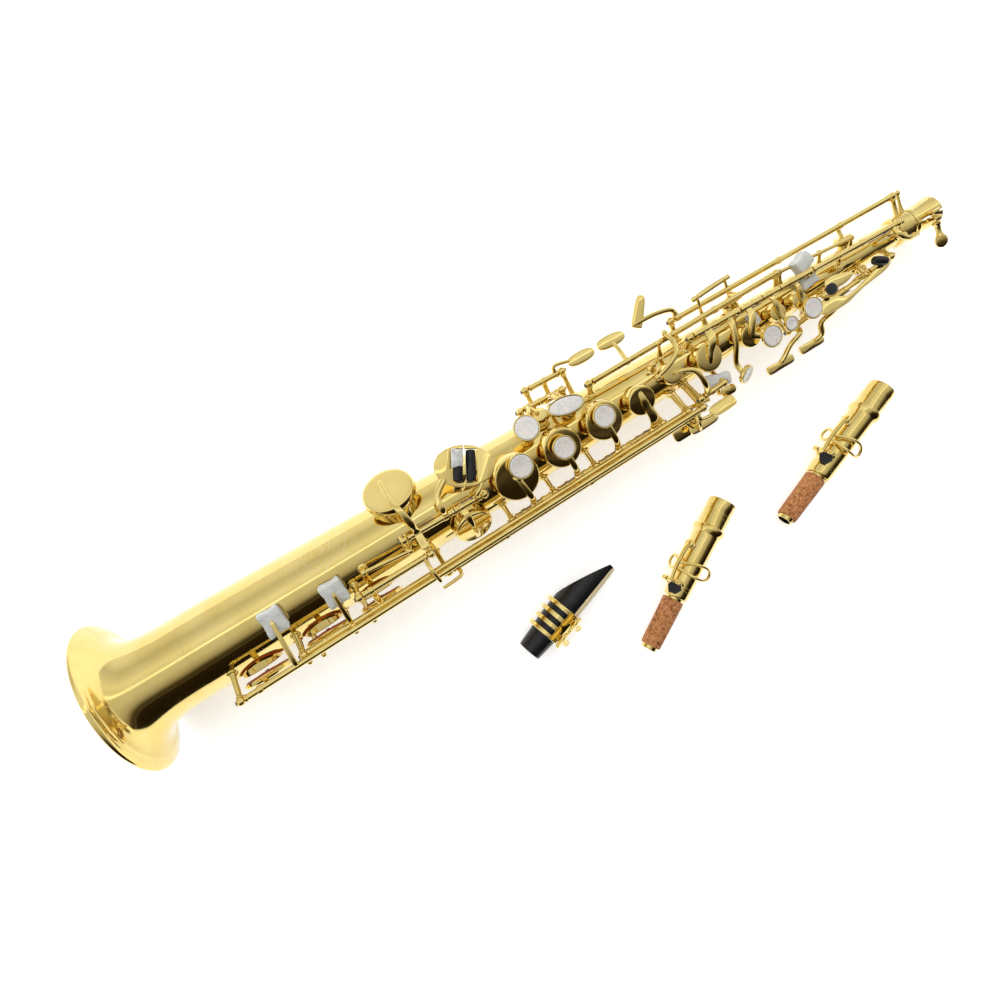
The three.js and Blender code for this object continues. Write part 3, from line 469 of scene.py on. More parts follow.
def slab(c, u, v, outline, t, bevel=0.5, crown=0.0):
    """Plate with rounded edges: outline in u, v about c, thickness t along u x v; crown domes both faces."""
    u = unit(u)
    w = unit(np.cross(u, v))
    v = np.cross(w, u)
    c = np.asarray(c, float)
    P = np.array(outline, float)
    area = 0.5 * np.sum(P[:, 0] * np.roll(P[:, 1], -1) - np.roll(P[:, 0], -1) * P[:, 1])
    if area < 0:
        P = P[::-1]
    e0 = P - np.roll(P, 1, 0)
    e1 = np.roll(P, -1, 0) - P
    nrm = np.stack([e0[:, 1] + e1[:, 1], -(e0[:, 0] + e1[:, 0])], 1)
    nrm /= np.maximum(np.linalg.norm(nrm, axis=1, keepdims=True), 1e-9)
    bevel = min(bevel, t * 0.48)
    cen = P.mean(0)
    rings = []
    for s in (1, -1):
        seq = [(0.0, bevel), (0.3 * bevel, 0.3 * bevel), (bevel, 0.0)]
        seq = [(i, t / 2 - z) for i, z in seq]
        if s < 0:
            seq = [(i, z) for i, z in seq]
        rings.append([(i, s * z) for i, z in seq])
    order = list(reversed(rings[1])) + rings[0]
    V, F, rows = [], [], []
    n = len(P)
    for inset, z in order:
        q = P - nrm * inset
        rows.append(list(range(len(V), len(V) + n)))
        V.extend([c + u * a + v * b + w * z for a, b in q])
    for a, b in zip(rows, rows[1:]):
        for i in range(n):
            j = (i + 1) % n
            F.append([a[i], a[j], b[j], b[i]])
    for s, row in ((-1, rows[0]), (1, rows[-1])):
        if crown:
            q = P - nrm * bevel
            prev = row
            for k, lift in ((0.66, 0.55), (0.33, 0.9)):
                r2 = list(range(len(V), len(V) + n))
                V.extend([c + u * a + v * b + w * (s * (t / 2 + crown * lift)) for a, b in cen + (q - cen) * k])
                for i in range(n):
                    j = (i + 1) % n
                    F.append([prev[i], prev[j], r2[j], r2[i]])
                prev = r2
            top = len(V)
            V.append(c + u * cen[0] + v * cen[1] + w * (s * (t / 2 + crown)))
            for i in range(n):
                F.append([prev[i], prev[(i + 1) % n], top])
        else:
            F.append(list(row))
    return np.array(V), F


# ------------------------------------------------------------------ materials
def mat(name, build):
    m = bpy.data.materials.new(name)
    m.use_nodes = True
    nt = m.node_tree
    nt.nodes.clear()
    out = nt.nodes.new("ShaderNodeOutputMaterial")
    b = nt.nodes.new("ShaderNodeBsdfPrincipled")
    nt.links.new(b.outputs[0], out.inputs[0])
    build(nt, b)
    return m


def nd(nt, kind, **kw):
    n = nt.nodes.new(kind)
    for k, val in kw.items():
        if k.startswith("i_"):
            n.inputs[k[2:].replace("_", " ")].default_value = val
        else:
            setattr(n, k, val)
    return n


def coords(nt, scale=(1, 1, 1)):
    c = nd(nt, "ShaderNodeTexCoord")
    m = nd(nt, "ShaderNodeMapping")
    m.inputs["Scale"].default_value = scale
    nt.links.new(c.outputs["Object"], m.inputs[0])
    return m.outputs[0]


def noise(nt, vec, scale, detail=4, rough=0.5, distort=0.0):
    n = nd(nt, "ShaderNodeTexNoise")
    n.inputs["Scale"].default_value = scale
    n.inputs["Detail"].default_value = detail
    n.inputs["Roughness"].default_value = rough
    n.inputs["Distortion"].default_value = distort
    nt.links.new(vec, n.inputs["Vector"])
    return n.outputs["Fac"]


def ramp(nt, fac, stops, mode="LINEAR"):
    r = nd(nt, "ShaderNodeValToRGB")
    r.color_ramp.interpolation = mode
    e = r.color_ramp.elements
    while len(e) < len(stops):
        e.new(0.5)
    for k, (p, c) in enumerate(stops):
        e[k].position = p
        e[k].color = (*c, 1) if len(c) == 3 else c
    nt.links.new(fac, r.inputs[0])
    return r.outputs[0]


def remap(nt, fac, a, b, lo, hi):
    m = nd(nt, "ShaderNodeMapRange")
    for i, v in zip((1, 2, 3, 4), (a, b, lo, hi)):
        m.inputs[i].default_value = v
    nt.links.new(fac, m.inputs[0])
    return m.outputs[0]


def bump(nt, b, height, strength, dist=0.0002, prev=None):
    n = nd(nt, "ShaderNodeBump")
    n.inputs["Strength"].default_value = strength
    n.inputs["Distance"].default_value = dist
    nt.links.new(height, n.inputs["Height"])
    if prev is not None:
        nt.links.new(prev, n.inputs["Normal"])
    nt.links.new(n.outputs[0], b.inputs["Normal"])
    return n.outputs[0]


def math_node(nt, op, a, b=None):
    m = nd(nt, "ShaderNodeMath", operation=op)
    for i, x in enumerate((a, b)):
        if x is None:
            continue
        if isinstance(x, (int, float)):
            m.inputs[i].default_value = x
        else:
            nt.links.new(x, m.inputs[i])
    return m.outputs[0]


GOLD_A, GOLD_B = (0.86, 0.68, 0.25), (0.80, 0.61, 0.19)


def gold(rough=0.09, engraved=False, tint=1.0):
    def build(nt, b):
        v = coords(nt)
        cloud = noise(nt, v, 55, 3)
        col = ramp(nt, cloud, [(0.35, tuple(tint * x for x in GOLD_B)), (0.65, tuple(tint * x for x in GOLD_A))])
        b.inputs["Metallic"].default_value = 1
        smear = noise(nt, v, 240, 5, 0.6)
        r = remap(nt, smear, 0.3, 0.75, rough * 0.75, rough * 1.5)
        b.inputs["Coat Weight"].default_value = 0.55
        b.inputs["Coat Roughness"].default_value = 0.03
        b.inputs["Coat IOR"].default_value = 1.45
        # hairline polishing marks along the bore
        fine = noise(nt, coords(nt, (60, 1500, 1500)), 1.0, 2)
        height = fine
        dist, strength = 0.00002, 0.04
        if engraved:
            c = nd(nt, "ShaderNodeTexCoord")
            m = nd(nt, "ShaderNodeMapping", vector_type="POINT")
            p = world(on(133, 35, 22.0))[0]
            m.inputs["Location"].default_value = tuple(-x for x in p)
            nt.links.new(c.outputs["Object"], m.inputs[0])
            s = nd(nt, "ShaderNodeMapping", vector_type="POINT")
            s.inputs["Scale"].default_value = (1 / 0.026, 1 / 0.014, 1 / 0.030)
            nt.links.new(m.outputs[0], s.inputs[0])
            g = nd(nt, "ShaderNodeTexGradient", gradient_type="SPHERICAL")
            nt.links.new(s.outputs[0], g.inputs[0])
            w = nd(nt, "ShaderNodeTexWave", wave_type="RINGS", rings_direction="SPHERICAL")
            w.inputs["Scale"].default_value = 38
            w.inputs["Distortion"].default_value = 9.0
            w.inputs["Detail"].default_value = 1.0
            w.inputs["Detail Scale"].default_value = 1.4
            nt.links.new(m.outputs[0], w.inputs[0])
            line = remap(nt, w.outputs["Fac"], 0.42, 0.5, 0.0, 1.0)
            line2 = remap(nt, w.outputs["Fac"], 0.5, 0.58, 1.0, 0.0)
            both = math_node(nt, "MULTIPLY", line, line2)
            mask = remap(nt, g.outputs["Fac"], 0.02, 0.35, 0.0, 1.0)
            cut = math_node(nt, "MULTIPLY", both, mask)
            mix = nd(nt, "ShaderNodeMixRGB")
            nt.links.new(cut, mix.inputs[0])
            nt.links.new(col, mix.inputs[1])
            mix.inputs[2].default_value = (0.93, 0.83, 0.55, 1)
            col = mix.outputs[0]
            r = math_node(nt, "ADD", r, math_node(nt, "MULTIPLY", cut, 0.35))
        nt.links.new(col, b.inputs["Base Color"])
        nt.links.new(r, b.inputs["Roughness"])
        bump(nt, b, height, strength, dist)
    return build


def b_steel(nt, b):
    v = coords(nt, (200, 3000, 3000))
    f = noise(nt, v, 1.0, 3)
    nt.links.new(ramp(nt, f, [(0.3, (0.10, 0.10, 0.12)), (0.7, (0.30, 0.30, 0.33))]), b.inputs["Base Color"])
    b.inputs["Metallic"].default_value = 1
    nt.links.new(remap(nt, f, 0.3, 0.7, 0.18, 0.34), b.inputs["Roughness"])
    bump(nt, b, f, 0.1, 0.00002)


def b_pearl(nt, b):
    v = coords(nt)
    f = noise(nt, v, 190, 5, 0.65, 1.6)
    col = ramp(nt, f, [(0.30, (0.60, 0.51, 0.49)), (0.45, (0.82, 0.76, 0.70)), (0.58, (0.62, 0.63, 0.62)), (0.72, (0.92, 0.87, 0.81))])
    nt.links.new(col, b.inputs["Base Color"])
    b.inputs["Roughness"].default_value = 0.22
    b.inputs["Coat Weight"].default_value = 0.5
    b.inputs["Coat Roughness"].default_value = 0.04
    b.inputs["Sheen Weight"].default_value = 0.25
    b.inputs["Subsurface Weight"].default_value = 0.25
    b.inputs["Subsurface Radius"].default_value = (0.0012, 0.0010, 0.0009)
    b.inputs["Subsurface Scale"].default_value = 1.0
    nt.links.new(remap(nt, f, 0.3, 0.7, 0.16, 0.30), b.inputs["Roughness"])
    bump(nt, b, f, 0.15, 0.00006)


def b_leather(nt, b):
    v = coords(nt)
    n1 = nd(nt, "ShaderNodeTexVoronoi", feature="DISTANCE_TO_EDGE")
    n1.inputs["Scale"].default_value = 1400
    nt.links.new(v, n1.inputs["Vector"])
    pore = remap(nt, n1.outputs["Distance"], 0.0, 0.18, 0.0, 1.0)
    tone = noise(nt, v, 120, 4)
    col = ramp(nt, tone, [(0.3, (0.30, 0.035, 0.008)), (0.55, (0.47, 0.07, 0.014)), (0.75, (0.56, 0.11, 0.025))])
    nt.links.new(col, b.inputs["Base Color"])
    nt.links.new(remap(nt, pore, 0, 1, 0.62, 0.42), b.inputs["Roughness"])
    b.inputs["Sheen Weight"].default_value = 0.15
    bump(nt, b, pore, 0.35, 0.00008)


def b_foam(nt, b):
    v = coords(nt)
    n1 = nd(nt, "ShaderNodeTexVoronoi", feature="SMOOTH_F1")
    n1.inputs["Scale"].default_value = 420
    nt.links.new(v, n1.inputs["Vector"])
    cell = n1.outputs["Distance"]
    big = noise(nt, v, 150, 4, 0.6, 0.6)
    col = ramp(nt, big, [(0.3, (0.56, 0.58, 0.56)), (0.6, (0.74, 0.75, 0.73)), (0.8, (0.86, 0.86, 0.85))])
    nt.links.new(col, b.inputs["Base Color"])
    b.inputs["Roughness"].default_value = 0.55
    nt.links.new(remap(nt, big, 0.3, 0.7, 0.45, 0.7), b.inputs["Roughness"])
    b.inputs["Subsurface Weight"].default_value = 0.6
    b.inputs["Subsurface Radius"].default_value = (0.004, 0.004, 0.004)
    b.inputs["Subsurface Scale"].default_value = 1.0
    b.inputs["Transmission Weight"].default_value = 0.12
    h = math_node(nt, "ADD", math_node(nt, "MULTIPLY", cell, 0.6), big)
    bump(nt, b, h, 0.5, 0.0005)


def b_black(rough, scale=300, base=(0.006, 0.006, 0.007)):
    def build(nt, b):
        v = coords(nt)
        f = noise(nt, v, scale, 5)
        nt.links.new(ramp(nt, f, [(0.3, base), (0.75, tuple(x * 2.4 for x in base))]), b.inputs["Base Color"])
        nt.links.new(remap(nt, f, 0.3, 0.7, rough * 0.8, rough * 1.3), b.inputs["Roughness"])
        b.inputs["Specular IOR Level"].default_value = 0.3
        b.inputs["Coat Weight"].default_value = 0.06
        b.inputs["Coat Roughness"].default_value = 0.08
        bump(nt, b, noise(nt, v, scale * 6, 3), 0.05, 0.00003)
    return build


def b_felt(nt, b):
    v = coords(nt)
    f = noise(nt, v, 2600, 6, 0.7)
    nt.links.new(ramp(nt, f, [(0.3, (0.004, 0.004, 0.004)), (0.8, (0.03, 0.03, 0.032))]), b.inputs["Base Color"])
    b.inputs["Roughness"].default_value = 0.95
    b.inputs["Sheen Weight"].default_value = 0.4
    bump(nt, b, f, 0.8, 0.0001)


def b_cork(nt, b):
    v = coords(nt)
    n1 = nd(nt, "ShaderNodeTexVoronoi", feature="F1")
    n1.inputs["Scale"].default_value = 620
    n1.inputs["Randomness"].default_value = 1.0
    nt.links.new(v, n1.inputs["Vector"])
    speck = ramp(nt, noise(nt, v, 520, 6, 0.7, 0.4), [(0.36, (0.10, 0.025, 0.006)), (0.45, (0.42, 0.16, 0.055)), (0.6, (0.60, 0.27, 0.10)), (0.74, (0.72, 0.38, 0.16))])
    tone = ramp(nt, n1.outputs["Distance"], [(0.0, (0.75, 0.75, 0.75)), (0.6, (1, 1, 1))])
    mul = nd(nt, "ShaderNodeMixRGB", blend_type="MULTIPLY")
    mul.inputs[0].default_value = 0.8
    nt.links.new(speck, mul.inputs[1])
    nt.links.new(tone, mul.inputs[2])
    nt.links.new(mul.outputs[0], b.inputs["Base Color"])
    b.inputs["Roughness"].default_value = 0.85
    bump(nt, b, noise(nt, v, 700, 6, 0.7), 0.6, 0.0002)


def b_cane(nt, b):
    v = coords(nt, (90, 2600, 2600))
    f = noise(nt, v, 1.0, 5, 0.6)
    nt.links.new(ramp(nt, f, [(0.3, (0.62, 0.47, 0.22)), (0.55, (0.80, 0.67, 0.38)), (0.75, (0.90, 0.80, 0.54))]), b.inputs["Base Color"])
    b.inputs["Roughness"].default_value = 0.55
    bump(nt, b, f, 0.25, 0.00006)


M = {
    "gold": mat("lacquered_gold", gold(0.09)),
    "tube": mat("lacquered_gold_engraved", gold(0.075, engraved=True)),
    "key": mat("lacquered_gold_keys", gold(0.10, tint=1.03)),
    "rodgold": mat("lacquered_gold_rods", gold(0.14)),
    "steel": mat("blued_steel", b_steel),
    "pearl": mat("mother_of_pearl", b_pearl),
    "leather": mat("pad_leather", b_leather),
    "foam": mat("packing_foam", b_foam),
    "roller": mat("roller_black", b_black(0.14)),
    "ebonite": mat("hard_rubber", b_black(0.17, 180)),
    "satin": mat("satin_black_plastic", b_black(0.45, 500)),
    "felt": mat("black_felt", b_felt),
    "cork": mat("cork_sheet", b_cork),
    "cane": mat("cane", b_cane),
}


def make(name, body, mesh, mats, replaces=(), slot=None, angle=32, xf=None):
    v = np.array(mesh.v, float)
    if xf is not None:
        v = xf(v)
    me = bpy.data.meshes.new(name)
    me.from_pydata(world(v).tolist(), [], mesh.f)
    for m in mats:
        me.materials.append(M[m])
    me.polygons.foreach_set("material_index", mesh.m)
    bm = bmesh.new()
    bm.from_mesh(me)
    bmesh.ops.recalc_face_normals(bm, faces=bm.faces)
    bm.to_mesh(me)
    bm.free()
    me.polygons.foreach_set("use_smooth", [True] * len(me.polygons))
    me.set_sharp_from_angle(angle=rad(angle))
    o = bpy.data.objects.new(name, me)
    bpy.context.scene.collection.objects.link(o)
    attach(o, body)
    if replaces:
        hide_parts(*replaces)
    return o


def fine(node, mesh, mats=("key",), **kw):
    return make(node + "_fine", NODE_BODY[node], mesh, mats, (node,), **kw)


# ------------------------------------------------------------------ shared key parts
def hinge_tube(k, line, x0, x1, collars=(), r=1.85, mat=0):
    a, b = at(line, x0), at(line, x1)
    L = np.linalg.norm(b - a)
    prof = [(0, 0), (0, r)]
    xs = sorted(set([x0 + 1.1, x1 - 1.1] + [c for c in collars if x0 + 2.5 < c < x1 - 2.5]))
    t = lambda x: (x - x0) / (x1 - x0) * L
    for x in xs:
        if x < x0 + 1.2:
            prof += [(0.0, r + 0.35), (1.3, r + 0.35), (1.5, r)]
        elif x > x1 - 1.2:
            prof += [(L - 1.5, r), (L - 1.3, r + 0.35), (L, r + 0.35)]
        else:
            prof += [(t(x) - 1.5, r), (t(x) - 1.3, r + 0.45), (t(x) + 1.3, r + 0.45), (t(x) + 1.5, r)]
    prof += [(L, 0)]
    k.add(spin(prof, a, b - a, 22, 0.12), mat)


def key_cup(k, p0, n, r, depth=4.6, dome=0.3, mat=0, seg=56):
    prof = [(depth - 1.2, 0), (depth - 1.2, r - 1.15), (0, r - 1.05), (0, r - 0.15), (0.35, r), (0.9, r + 0.02), (depth - 1.5, r * 0.975), (depth - 0.55, r * 0.95), (depth - 0.1, r * 0.90), (depth + 0.12 * dome, r * 0.80), (depth + 0.6 * dome, r * 0.45), (depth + dome, 0)]
    k.add(spin(prof, p0, n, seg, 0.22), mat)


def pad_disc(k, p0, n, r, depth=3.2, out=0.3, mat=0, resonator=None):
    prof = [(-out, 0), (-out, r - 1.0), (-out + 0.35, r - 0.25), (0.5, r), (depth, r), (depth, 0)]
    if resonator:
        prof = [(-out + 0.1, 0), (-out + 0.1, r * 0.55), (-out - 0.05, r * 0.64), (-out, r - 1.6), (-out + 0.3, r - 0.6), (0.5, r), (depth, r), (depth, 0)]
    k.add(spin(prof, p0, n, 56, 0.3), mat)
    if resonator is not None:
        R = r * 0.56
        k.add(spin([(-out - 0.02, 0), (-out - 0.75, 0), (-out - 0.75, 1.0), (-out - 0.45, 1.5), (-out - 0.35, R * 0.55), (-out - 0.25, R * 0.9), (-out - 0.02, R), (-out + 0.08, R * 0.9), (-out + 0.08, 0)][1:], p0, n, 48, 0.1), resonator)


def pearl_seat(k, name, mat=0, deep=3.0, wall=0.85):
    c, r, lean, along = PEARLS[name]
    n = unit(A(math.sin(rad(along)), math.sin(rad(lean)) * math.cos(rad(along)), math.cos(rad(lean)) * math.cos(rad(along))))
    c = A(*c)
    prof = [(-0.9, 0), (-0.9, r + 0.15), (0.35, r + 0.12), (0.45, r + 0.45), (0.2, r + wall), (-1.4, r + wall), (-deep + 0.3, r + wall - 0.5), (-deep, r * 0.8), (-deep, 0)]
    k.add(spin(prof, c, n, 56, 0.16), mat)
    return c, n, r


def pearl_piece(name):
    k = Mesh()
    c, r, lean, along = PEARLS[name]
    n = unit(A(math.sin(rad(along)), math.sin(rad(lean)) * math.cos(rad(along)), math.cos(rad(lean)) * math.cos(rad(along))))
    prof = [(-0.85, 0), (-0.85, r), (0.30, r), (0.62, r - 0.55), (0.60, r - 1.0), (0.40, r * 0.62), (0.26, r * 0.3), (0.2, 0)]
    k.add(spin(prof, A(*c), n, 56, 0.18))
    fine(name + "_pearl", k, ("pearl",))


def arm(k, pts, r, taper=(1.0, 0.85), flat=1.0, mat=0, up=None):
    m = len(pts)
    w = [2.15 * r * (taper[0] + (taper[1] - taper[0]) * i / (m - 1)) for i in range(m)]
    k.add(sweep(pts, [x * flat for x in w], [x * 0.92 for x in w], up=up), mat)


def screw_head(k, p, d, r=1.5, t=0.9, mat=0):
    """Slotted screw head facing along d."""
    p, d = np.asarray(p, float), unit(d)
    k.add(spin([(-t, 0), (-t, r), (0.0, r), (0.25, r * 0.75), (0.3, 0)], p, d, 24, 0.12), mat)
    u, w = basis(d)
    k.add(slab(p + d * 0.30, u, w, rect(r * 1.75, 0.42, 0.1, 2), 0.16, 0.03), mat + 1)


# ------------------------------------------------------------------ body tube with its tone holes cut through
def solid_object(name, vf):
    me = bpy.data.meshes.new(name)
    me.from_pydata([tuple(x) for x in vf[0]], [], vf[1])
    bm = bmesh.new()
    bm.from_mesh(me)
    bmesh.ops.remove_doubles(bm, verts=bm.verts, dist=1e-5)
    bmesh.ops.recalc_face_normals(bm, faces=bm.faces)
    bm.to_mesh(me)
    bm.free()
    o = bpy.data.objects.new(name, me)
    bpy.context.scene.collection.objects.link(o)
    return o


def boolean(o, others, op):
    for q in others:
        m = o.modifiers.new("b", "BOOLEAN")
        m.operation, m.object, m.solver = op, q, "EXACT"
    dg = bpy.context.evaluated_depsgraph_get()
    me = bpy.data.meshes.new_from_object(o.evaluated_get(dg))
    o.modifiers.clear()
    o.data = me
    for q in others:
        bpy.data.objects.remove(q)
    return o


def r_at(x):
    if x < 131:
        return float(np.interp(x, [p[0] for p in TUBE_PROFILE], [p[1] for p in TUBE_PROFILE]))
    return tube_r(x)


def build_tube():
    WALL = 0.9
    xs = [47.75, 56, 65, 76, 90, 106, 118, 131, 160, 200, 240, 280, 320, 360, 400, 440, 480, 520, 560]
    N = 144
    outer = [(47.75, 0)] + [(x, r_at(x)) for x in xs] + [(560.2, 7.7), (560.2, 0)]
    inner = [(47.0, 0), (47.0, 24.1)] + [(x, r_at(x) - WALL) for x in xs] + [(569, 6.8), (569, 0)]
    o = solid_object("tube", spin(outer, (0, 0, 0), (1, 0, 0), N))
    walls = []
    for _, x, deg, r, top in HOLES:
        walls.append(solid_object("wall", spin([(tube_r(x) * 0.7, 0), (tube_r(x) * 0.7, r), (top - 0.35, r), (top, r - 0.3), (top, 0)], on(x, deg, 0), radial(deg), 56)))
    fer = spin(soften([(555.4, 0), (555.4, 8.6), (556.2, 9.5), (557.6, 9.9), (559, 9.5), (566, 9.5), (567, 9.8), (568.6, 9.5), (568.6, 0)], 0.3, 3), (0, 0, 0), (1, 0, 0), 72)
    walls.append(solid_object("ferrule", fer))
    o = boolean(o, walls, "UNION")
    cuts = [solid_object("bore", spin(inner, (0, 0, 0), (1, 0, 0), N))]
    for _, x, deg, r, top in HOLES:
        cuts.append(solid_object("hole", spin([(0.5, 0), (0.5, r - 1.2), (top - 0.25, r - 1.2), (top + 0.3, r - 0.9), (top + 3, r - 0.9), (top + 3, 0)], on(x, deg, 0), radial(deg), 56)))
    o = boolean(o, cuts, "DIFFERENCE")
    me = o.data
    # exact normals on the cone and the chimney walls, so reflections run clean past the cuts
    me.polygons.foreach_set("use_smooth", [True] * len(me.polygons))
    V = np.array([v.co for v in me.vertices])
    rr = np.hypot(V[:, 1], V[:, 2])
    on_out = np.abs(rr - np.interp(V[:, 0], xs, [r_at(x) for x in xs])) < 0.03
    on_in = np.abs(rr - np.interp(V[:, 0], xs, [r_at(x) - WALL for x in xs])) < 0.03
    normals = np.zeros((len(me.loops), 3))
    holes = [(A(1, 0, 0) * x, radial(deg), r) for _, x, deg, r, _ in HOLES]
    for p in me.polygons:
        idx = list(p.vertices)
        fn = np.array(p.normal)
        c = np.array(p.center)
        nr = None
        radialness = fn @ unit(A(0, c[1], c[2]))
        if on_out[idx].all() and radialness > 0.7:
            q = V[idx]
            nr = np.stack([np.full(len(idx), 0.036), q[:, 1], q[:, 2]], 1)
            nr[:, 0] *= np.hypot(q[:, 1], q[:, 2])
        elif on_in[idx].all() and radialness < -0.7:
            q = V[idx]
            nr = -np.stack([np.zeros(len(idx)), q[:, 1], q[:, 2]], 1)
        else:
            for o0, d0, r0 in holes:
                q = V[idx] - o0
                al = q @ d0
                if al.min() < 1:
                    continue
                rv = q - np.outer(al, d0)
                dist = np.linalg.norm(rv, axis=1)
                if (np.abs(dist - r0) < 0.06).all() and abs(fn @ d0) < 0.2:
                    nr = rv
                    break
                if (np.abs(dist - (r0 - 1.2)) < 0.06).all() and abs(fn @ d0) < 0.2:
                    nr = -rv
                    break
        for k, li in enumerate(p.loop_indices):
            normals[li] = unit(nr[k]) if nr is not None else fn
    me.vertices.foreach_set("co", world(V).astype(np.float32).ravel())
    normals = normals @ ROT.T
    me.update()
    me.normals_split_custom_set([tuple(x) for x in normals])
    me.materials.clear()
    me.materials.append(M["tube"])
    o.name = "body_tube_fine"
    o.data.name = "body_tube_fine"
    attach(o, "body")
    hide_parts("body_tube")
    return o


build_tube()


# bell flare with a rolled rim
def bell():
    P = list(reversed(BELL_OUTER))                      # rim to throat: x grows
    xs = np.array([p[0] for p in P])
    rs = np.array([p[1] for p in P])
    pts, _ = spline([A(x, r, 0) for x, r in P], 0.9)
    out = [(p[0], p[1]) for p in pts]
    tang = np.gradient(np.array(out), axis=0)
    inner = [(x + 0.9 * t[1] / np.linalg.norm(t) * -1, r - 0.9 * abs(t[0]) / np.linalg.norm(t)) for (x, r), t in zip(out, tang)]
    inner = [(out[i][0] + 0.75 * (1 if out[i][1] > 30 else 0.2), out[i][1] - 0.9) for i in range(len(out))]
    rim = []
    cx, cr, br = 1.35, 44.55, 1.4
    for i in range(19):
        t = rad(-35 + 13.5 * i)
        rim.append((cx - br * math.sin(t) * 0.96 + 0.0, cr + br * math.cos(t)))
    rim = [(max(x, 0.0), r) for x, r in rim]
    prof = list(reversed(out)) + rim + inner
    k = Mesh().add(spin(prof, (0, 0, 0), (1, 0, 0), 176))
    make("bell_flare_fine", "body", k, ("gold",), ("bell_flare",), angle=50)


bell()


# posts: turned stem on a soldered foot, ball head, pivot screw
def post(k, line, x, foot=None, head=2.6, screw=0, stem=1.6):
    h = at(line, x)
    d = unit(A(0, h[1], h[2])) if foot is None else radial(foot)
    r0 = tube_r(x)
    base = A(x, 0, 0) + d * r0
    v = h - base
    L = np.linalg.norm(v)
    n = unit(v)
    prof = [(-0.8, 0), (-0.8, 3.1), (0.35, 3.1), (0.8, 2.7), (1.1, 2.0), (1.7, stem + 0.25), (2.6, stem), (L - 3.6, stem * 0.95), (L - 2.9, stem + 0.55), (L - 2.5, stem + 0.55), (L - 2.1, stem + 0.1), (L - 1.2, stem), (L - 0.5, 0)]
    if L < 8:
        prof = [(-0.8, 0), (-0.8, 2.6), (0.3, 2.6), (0.8, stem + 0.2), (L - 0.5, stem), (L - 0.4, 0)]
    k.add(spin(prof, base, n, 28, 0.18), 0)
    k.add(ball(h, head, 28), 0)
    a = unit(at(line, x + 5) - h)
    k.add(spin([(-2.2, 0), (-2.2, 1.5), (2.2, 1.5), (2.2, 0)], h, a, 20, 0.2), 0)
    if screw:
        s = a * screw
        k.add(spin([(1.4, 0), (1.4, 1.25), (2.75, 1.25), (2.95, 1.0), (2.95, 0)], h, s, 20, 0.12), 1)
        u, w = basis(s)
        k.add(slab(h + s * 2.92, u, w, rect(2.0, 0.36, 0.1, 2), 0.14, 0.03), 1)


def posts():
    screws = {}
    for line in LINES:
        xs = [p[1] for p in POSTS if p[0] == line]
        if xs:
            screws[(line, min(xs))] = -1
            screws[(line, max(xs))] = 1
    k = Mesh()
    for p in POSTS:
        post(k, p[0], p[1], p[2] if len(p) > 2 else None, screw=screws.get((p[0], p[1]), 0))
    make("key_posts", "body", k, ("key", "steel"))


posts()

# hinge rods
for node, line, x0, x1 in (("rod_low_c_eb", "low_c_eb", 176.4, 232.4), ("rod_lower_stack", "lower_stack", 236.6, 351.6), ("rod_upper_stack", "upper_stack", 383.2, 478.6)):
    a, b = at(line, x0), at(line, x1)
    d = unit(b - a)
    L = np.linalg.norm(b - a)
    k = Mesh().add(spin([(0, 0), (0, 0.9), (L, 0.9), (L, 0)], a, d, 20, 0.12))
    fine(node, k, ("steel",))


# neck receiver
def receiver():
    k = Mesh()
    F, T = A(*SCREW["from"]), A(*SCREW["to"])
    d = unit(T - F)
    up = np.cross([1, 0, 0], d)
    prof = [(560.6, 6.4), (569.0, 6.4), (569.1, 9.2), (569.6, 9.8), (571.0, 9.9), (571.6, 9.45), (587.2, 9.45), (587.8, 9.85), (589.6, 9.85), (590, 9.5), (590, 8.15), (589.6, 8.0), (573, 8.0), (573, 5.4), (560.6, 5.4)]
    sleeve = solid_object("sleeve", spin(soften(prof, 0.15, 2), (0, 0, 0), (1, 0, 0), 96))
    lug = []
    for s in (0.2, 4.6):
        c = F + d * (s + 3.0)
        lug.append(solid_object("lug", slab(c, (1, 0, 0), up, closed_curve(rect(5.6, 8.0, 2.4), 40), 2.8, 0.35)))
    o = boolean(sleeve, lug, "UNION")
    cuts = [solid_object("b", spin([(572.9, 0), (572.9, 7.98), (591, 7.98), (591, 0)], (0, 0, 0), (1, 0, 0), 96)),
            solid_object("s", slab(F + d * 5.4, (1, 0, 0), up, rect(21, 16, 0.5), 1.2, 0.02)),
            solid_object("h", rod(F - d * 3, F + d * 14, 1.5, 28, 0))]
    o = boolean(o, cuts, "DIFFERENCE")
    me = o.data
    k = Mesh()
    k.add((np.array([v.co for v in me.vertices]), [list(p.vertices) for p in me.polygons]))
    bpy.data.objects.remove(o)
    fine("neck_receiver", k, ("key",))
    s = Mesh()
    s.add(spin([(0.8, 0), (0.8, 1.2), (10.2, 1.2), (10.3, 2.2), (10.9, 2.9), (12.2, 2.5), (13.0, 2.0), (16.5, 1.75), (18.6, 2.2), (19.4, 2.6), (20, 1.8), (20, 0)], F, d, 36, 0.2))
    out = closed_curve([(-4.2, -1.2), (-3.2, -3.1), (-0.6, -4.05), (2.4, -3.3), (4.1, 0), (2.4, 3.3), (-0.6, 4.05), (-3.2, 3.1), (-4.2, 1.2)], 64)
    s.add(slab(F + d * 23.4, d, (0.9, 0, 0.3), out, 2.0, 0.7, 0.25))
    fine("neck_clamp_screw", s, ("key",))


receiver()


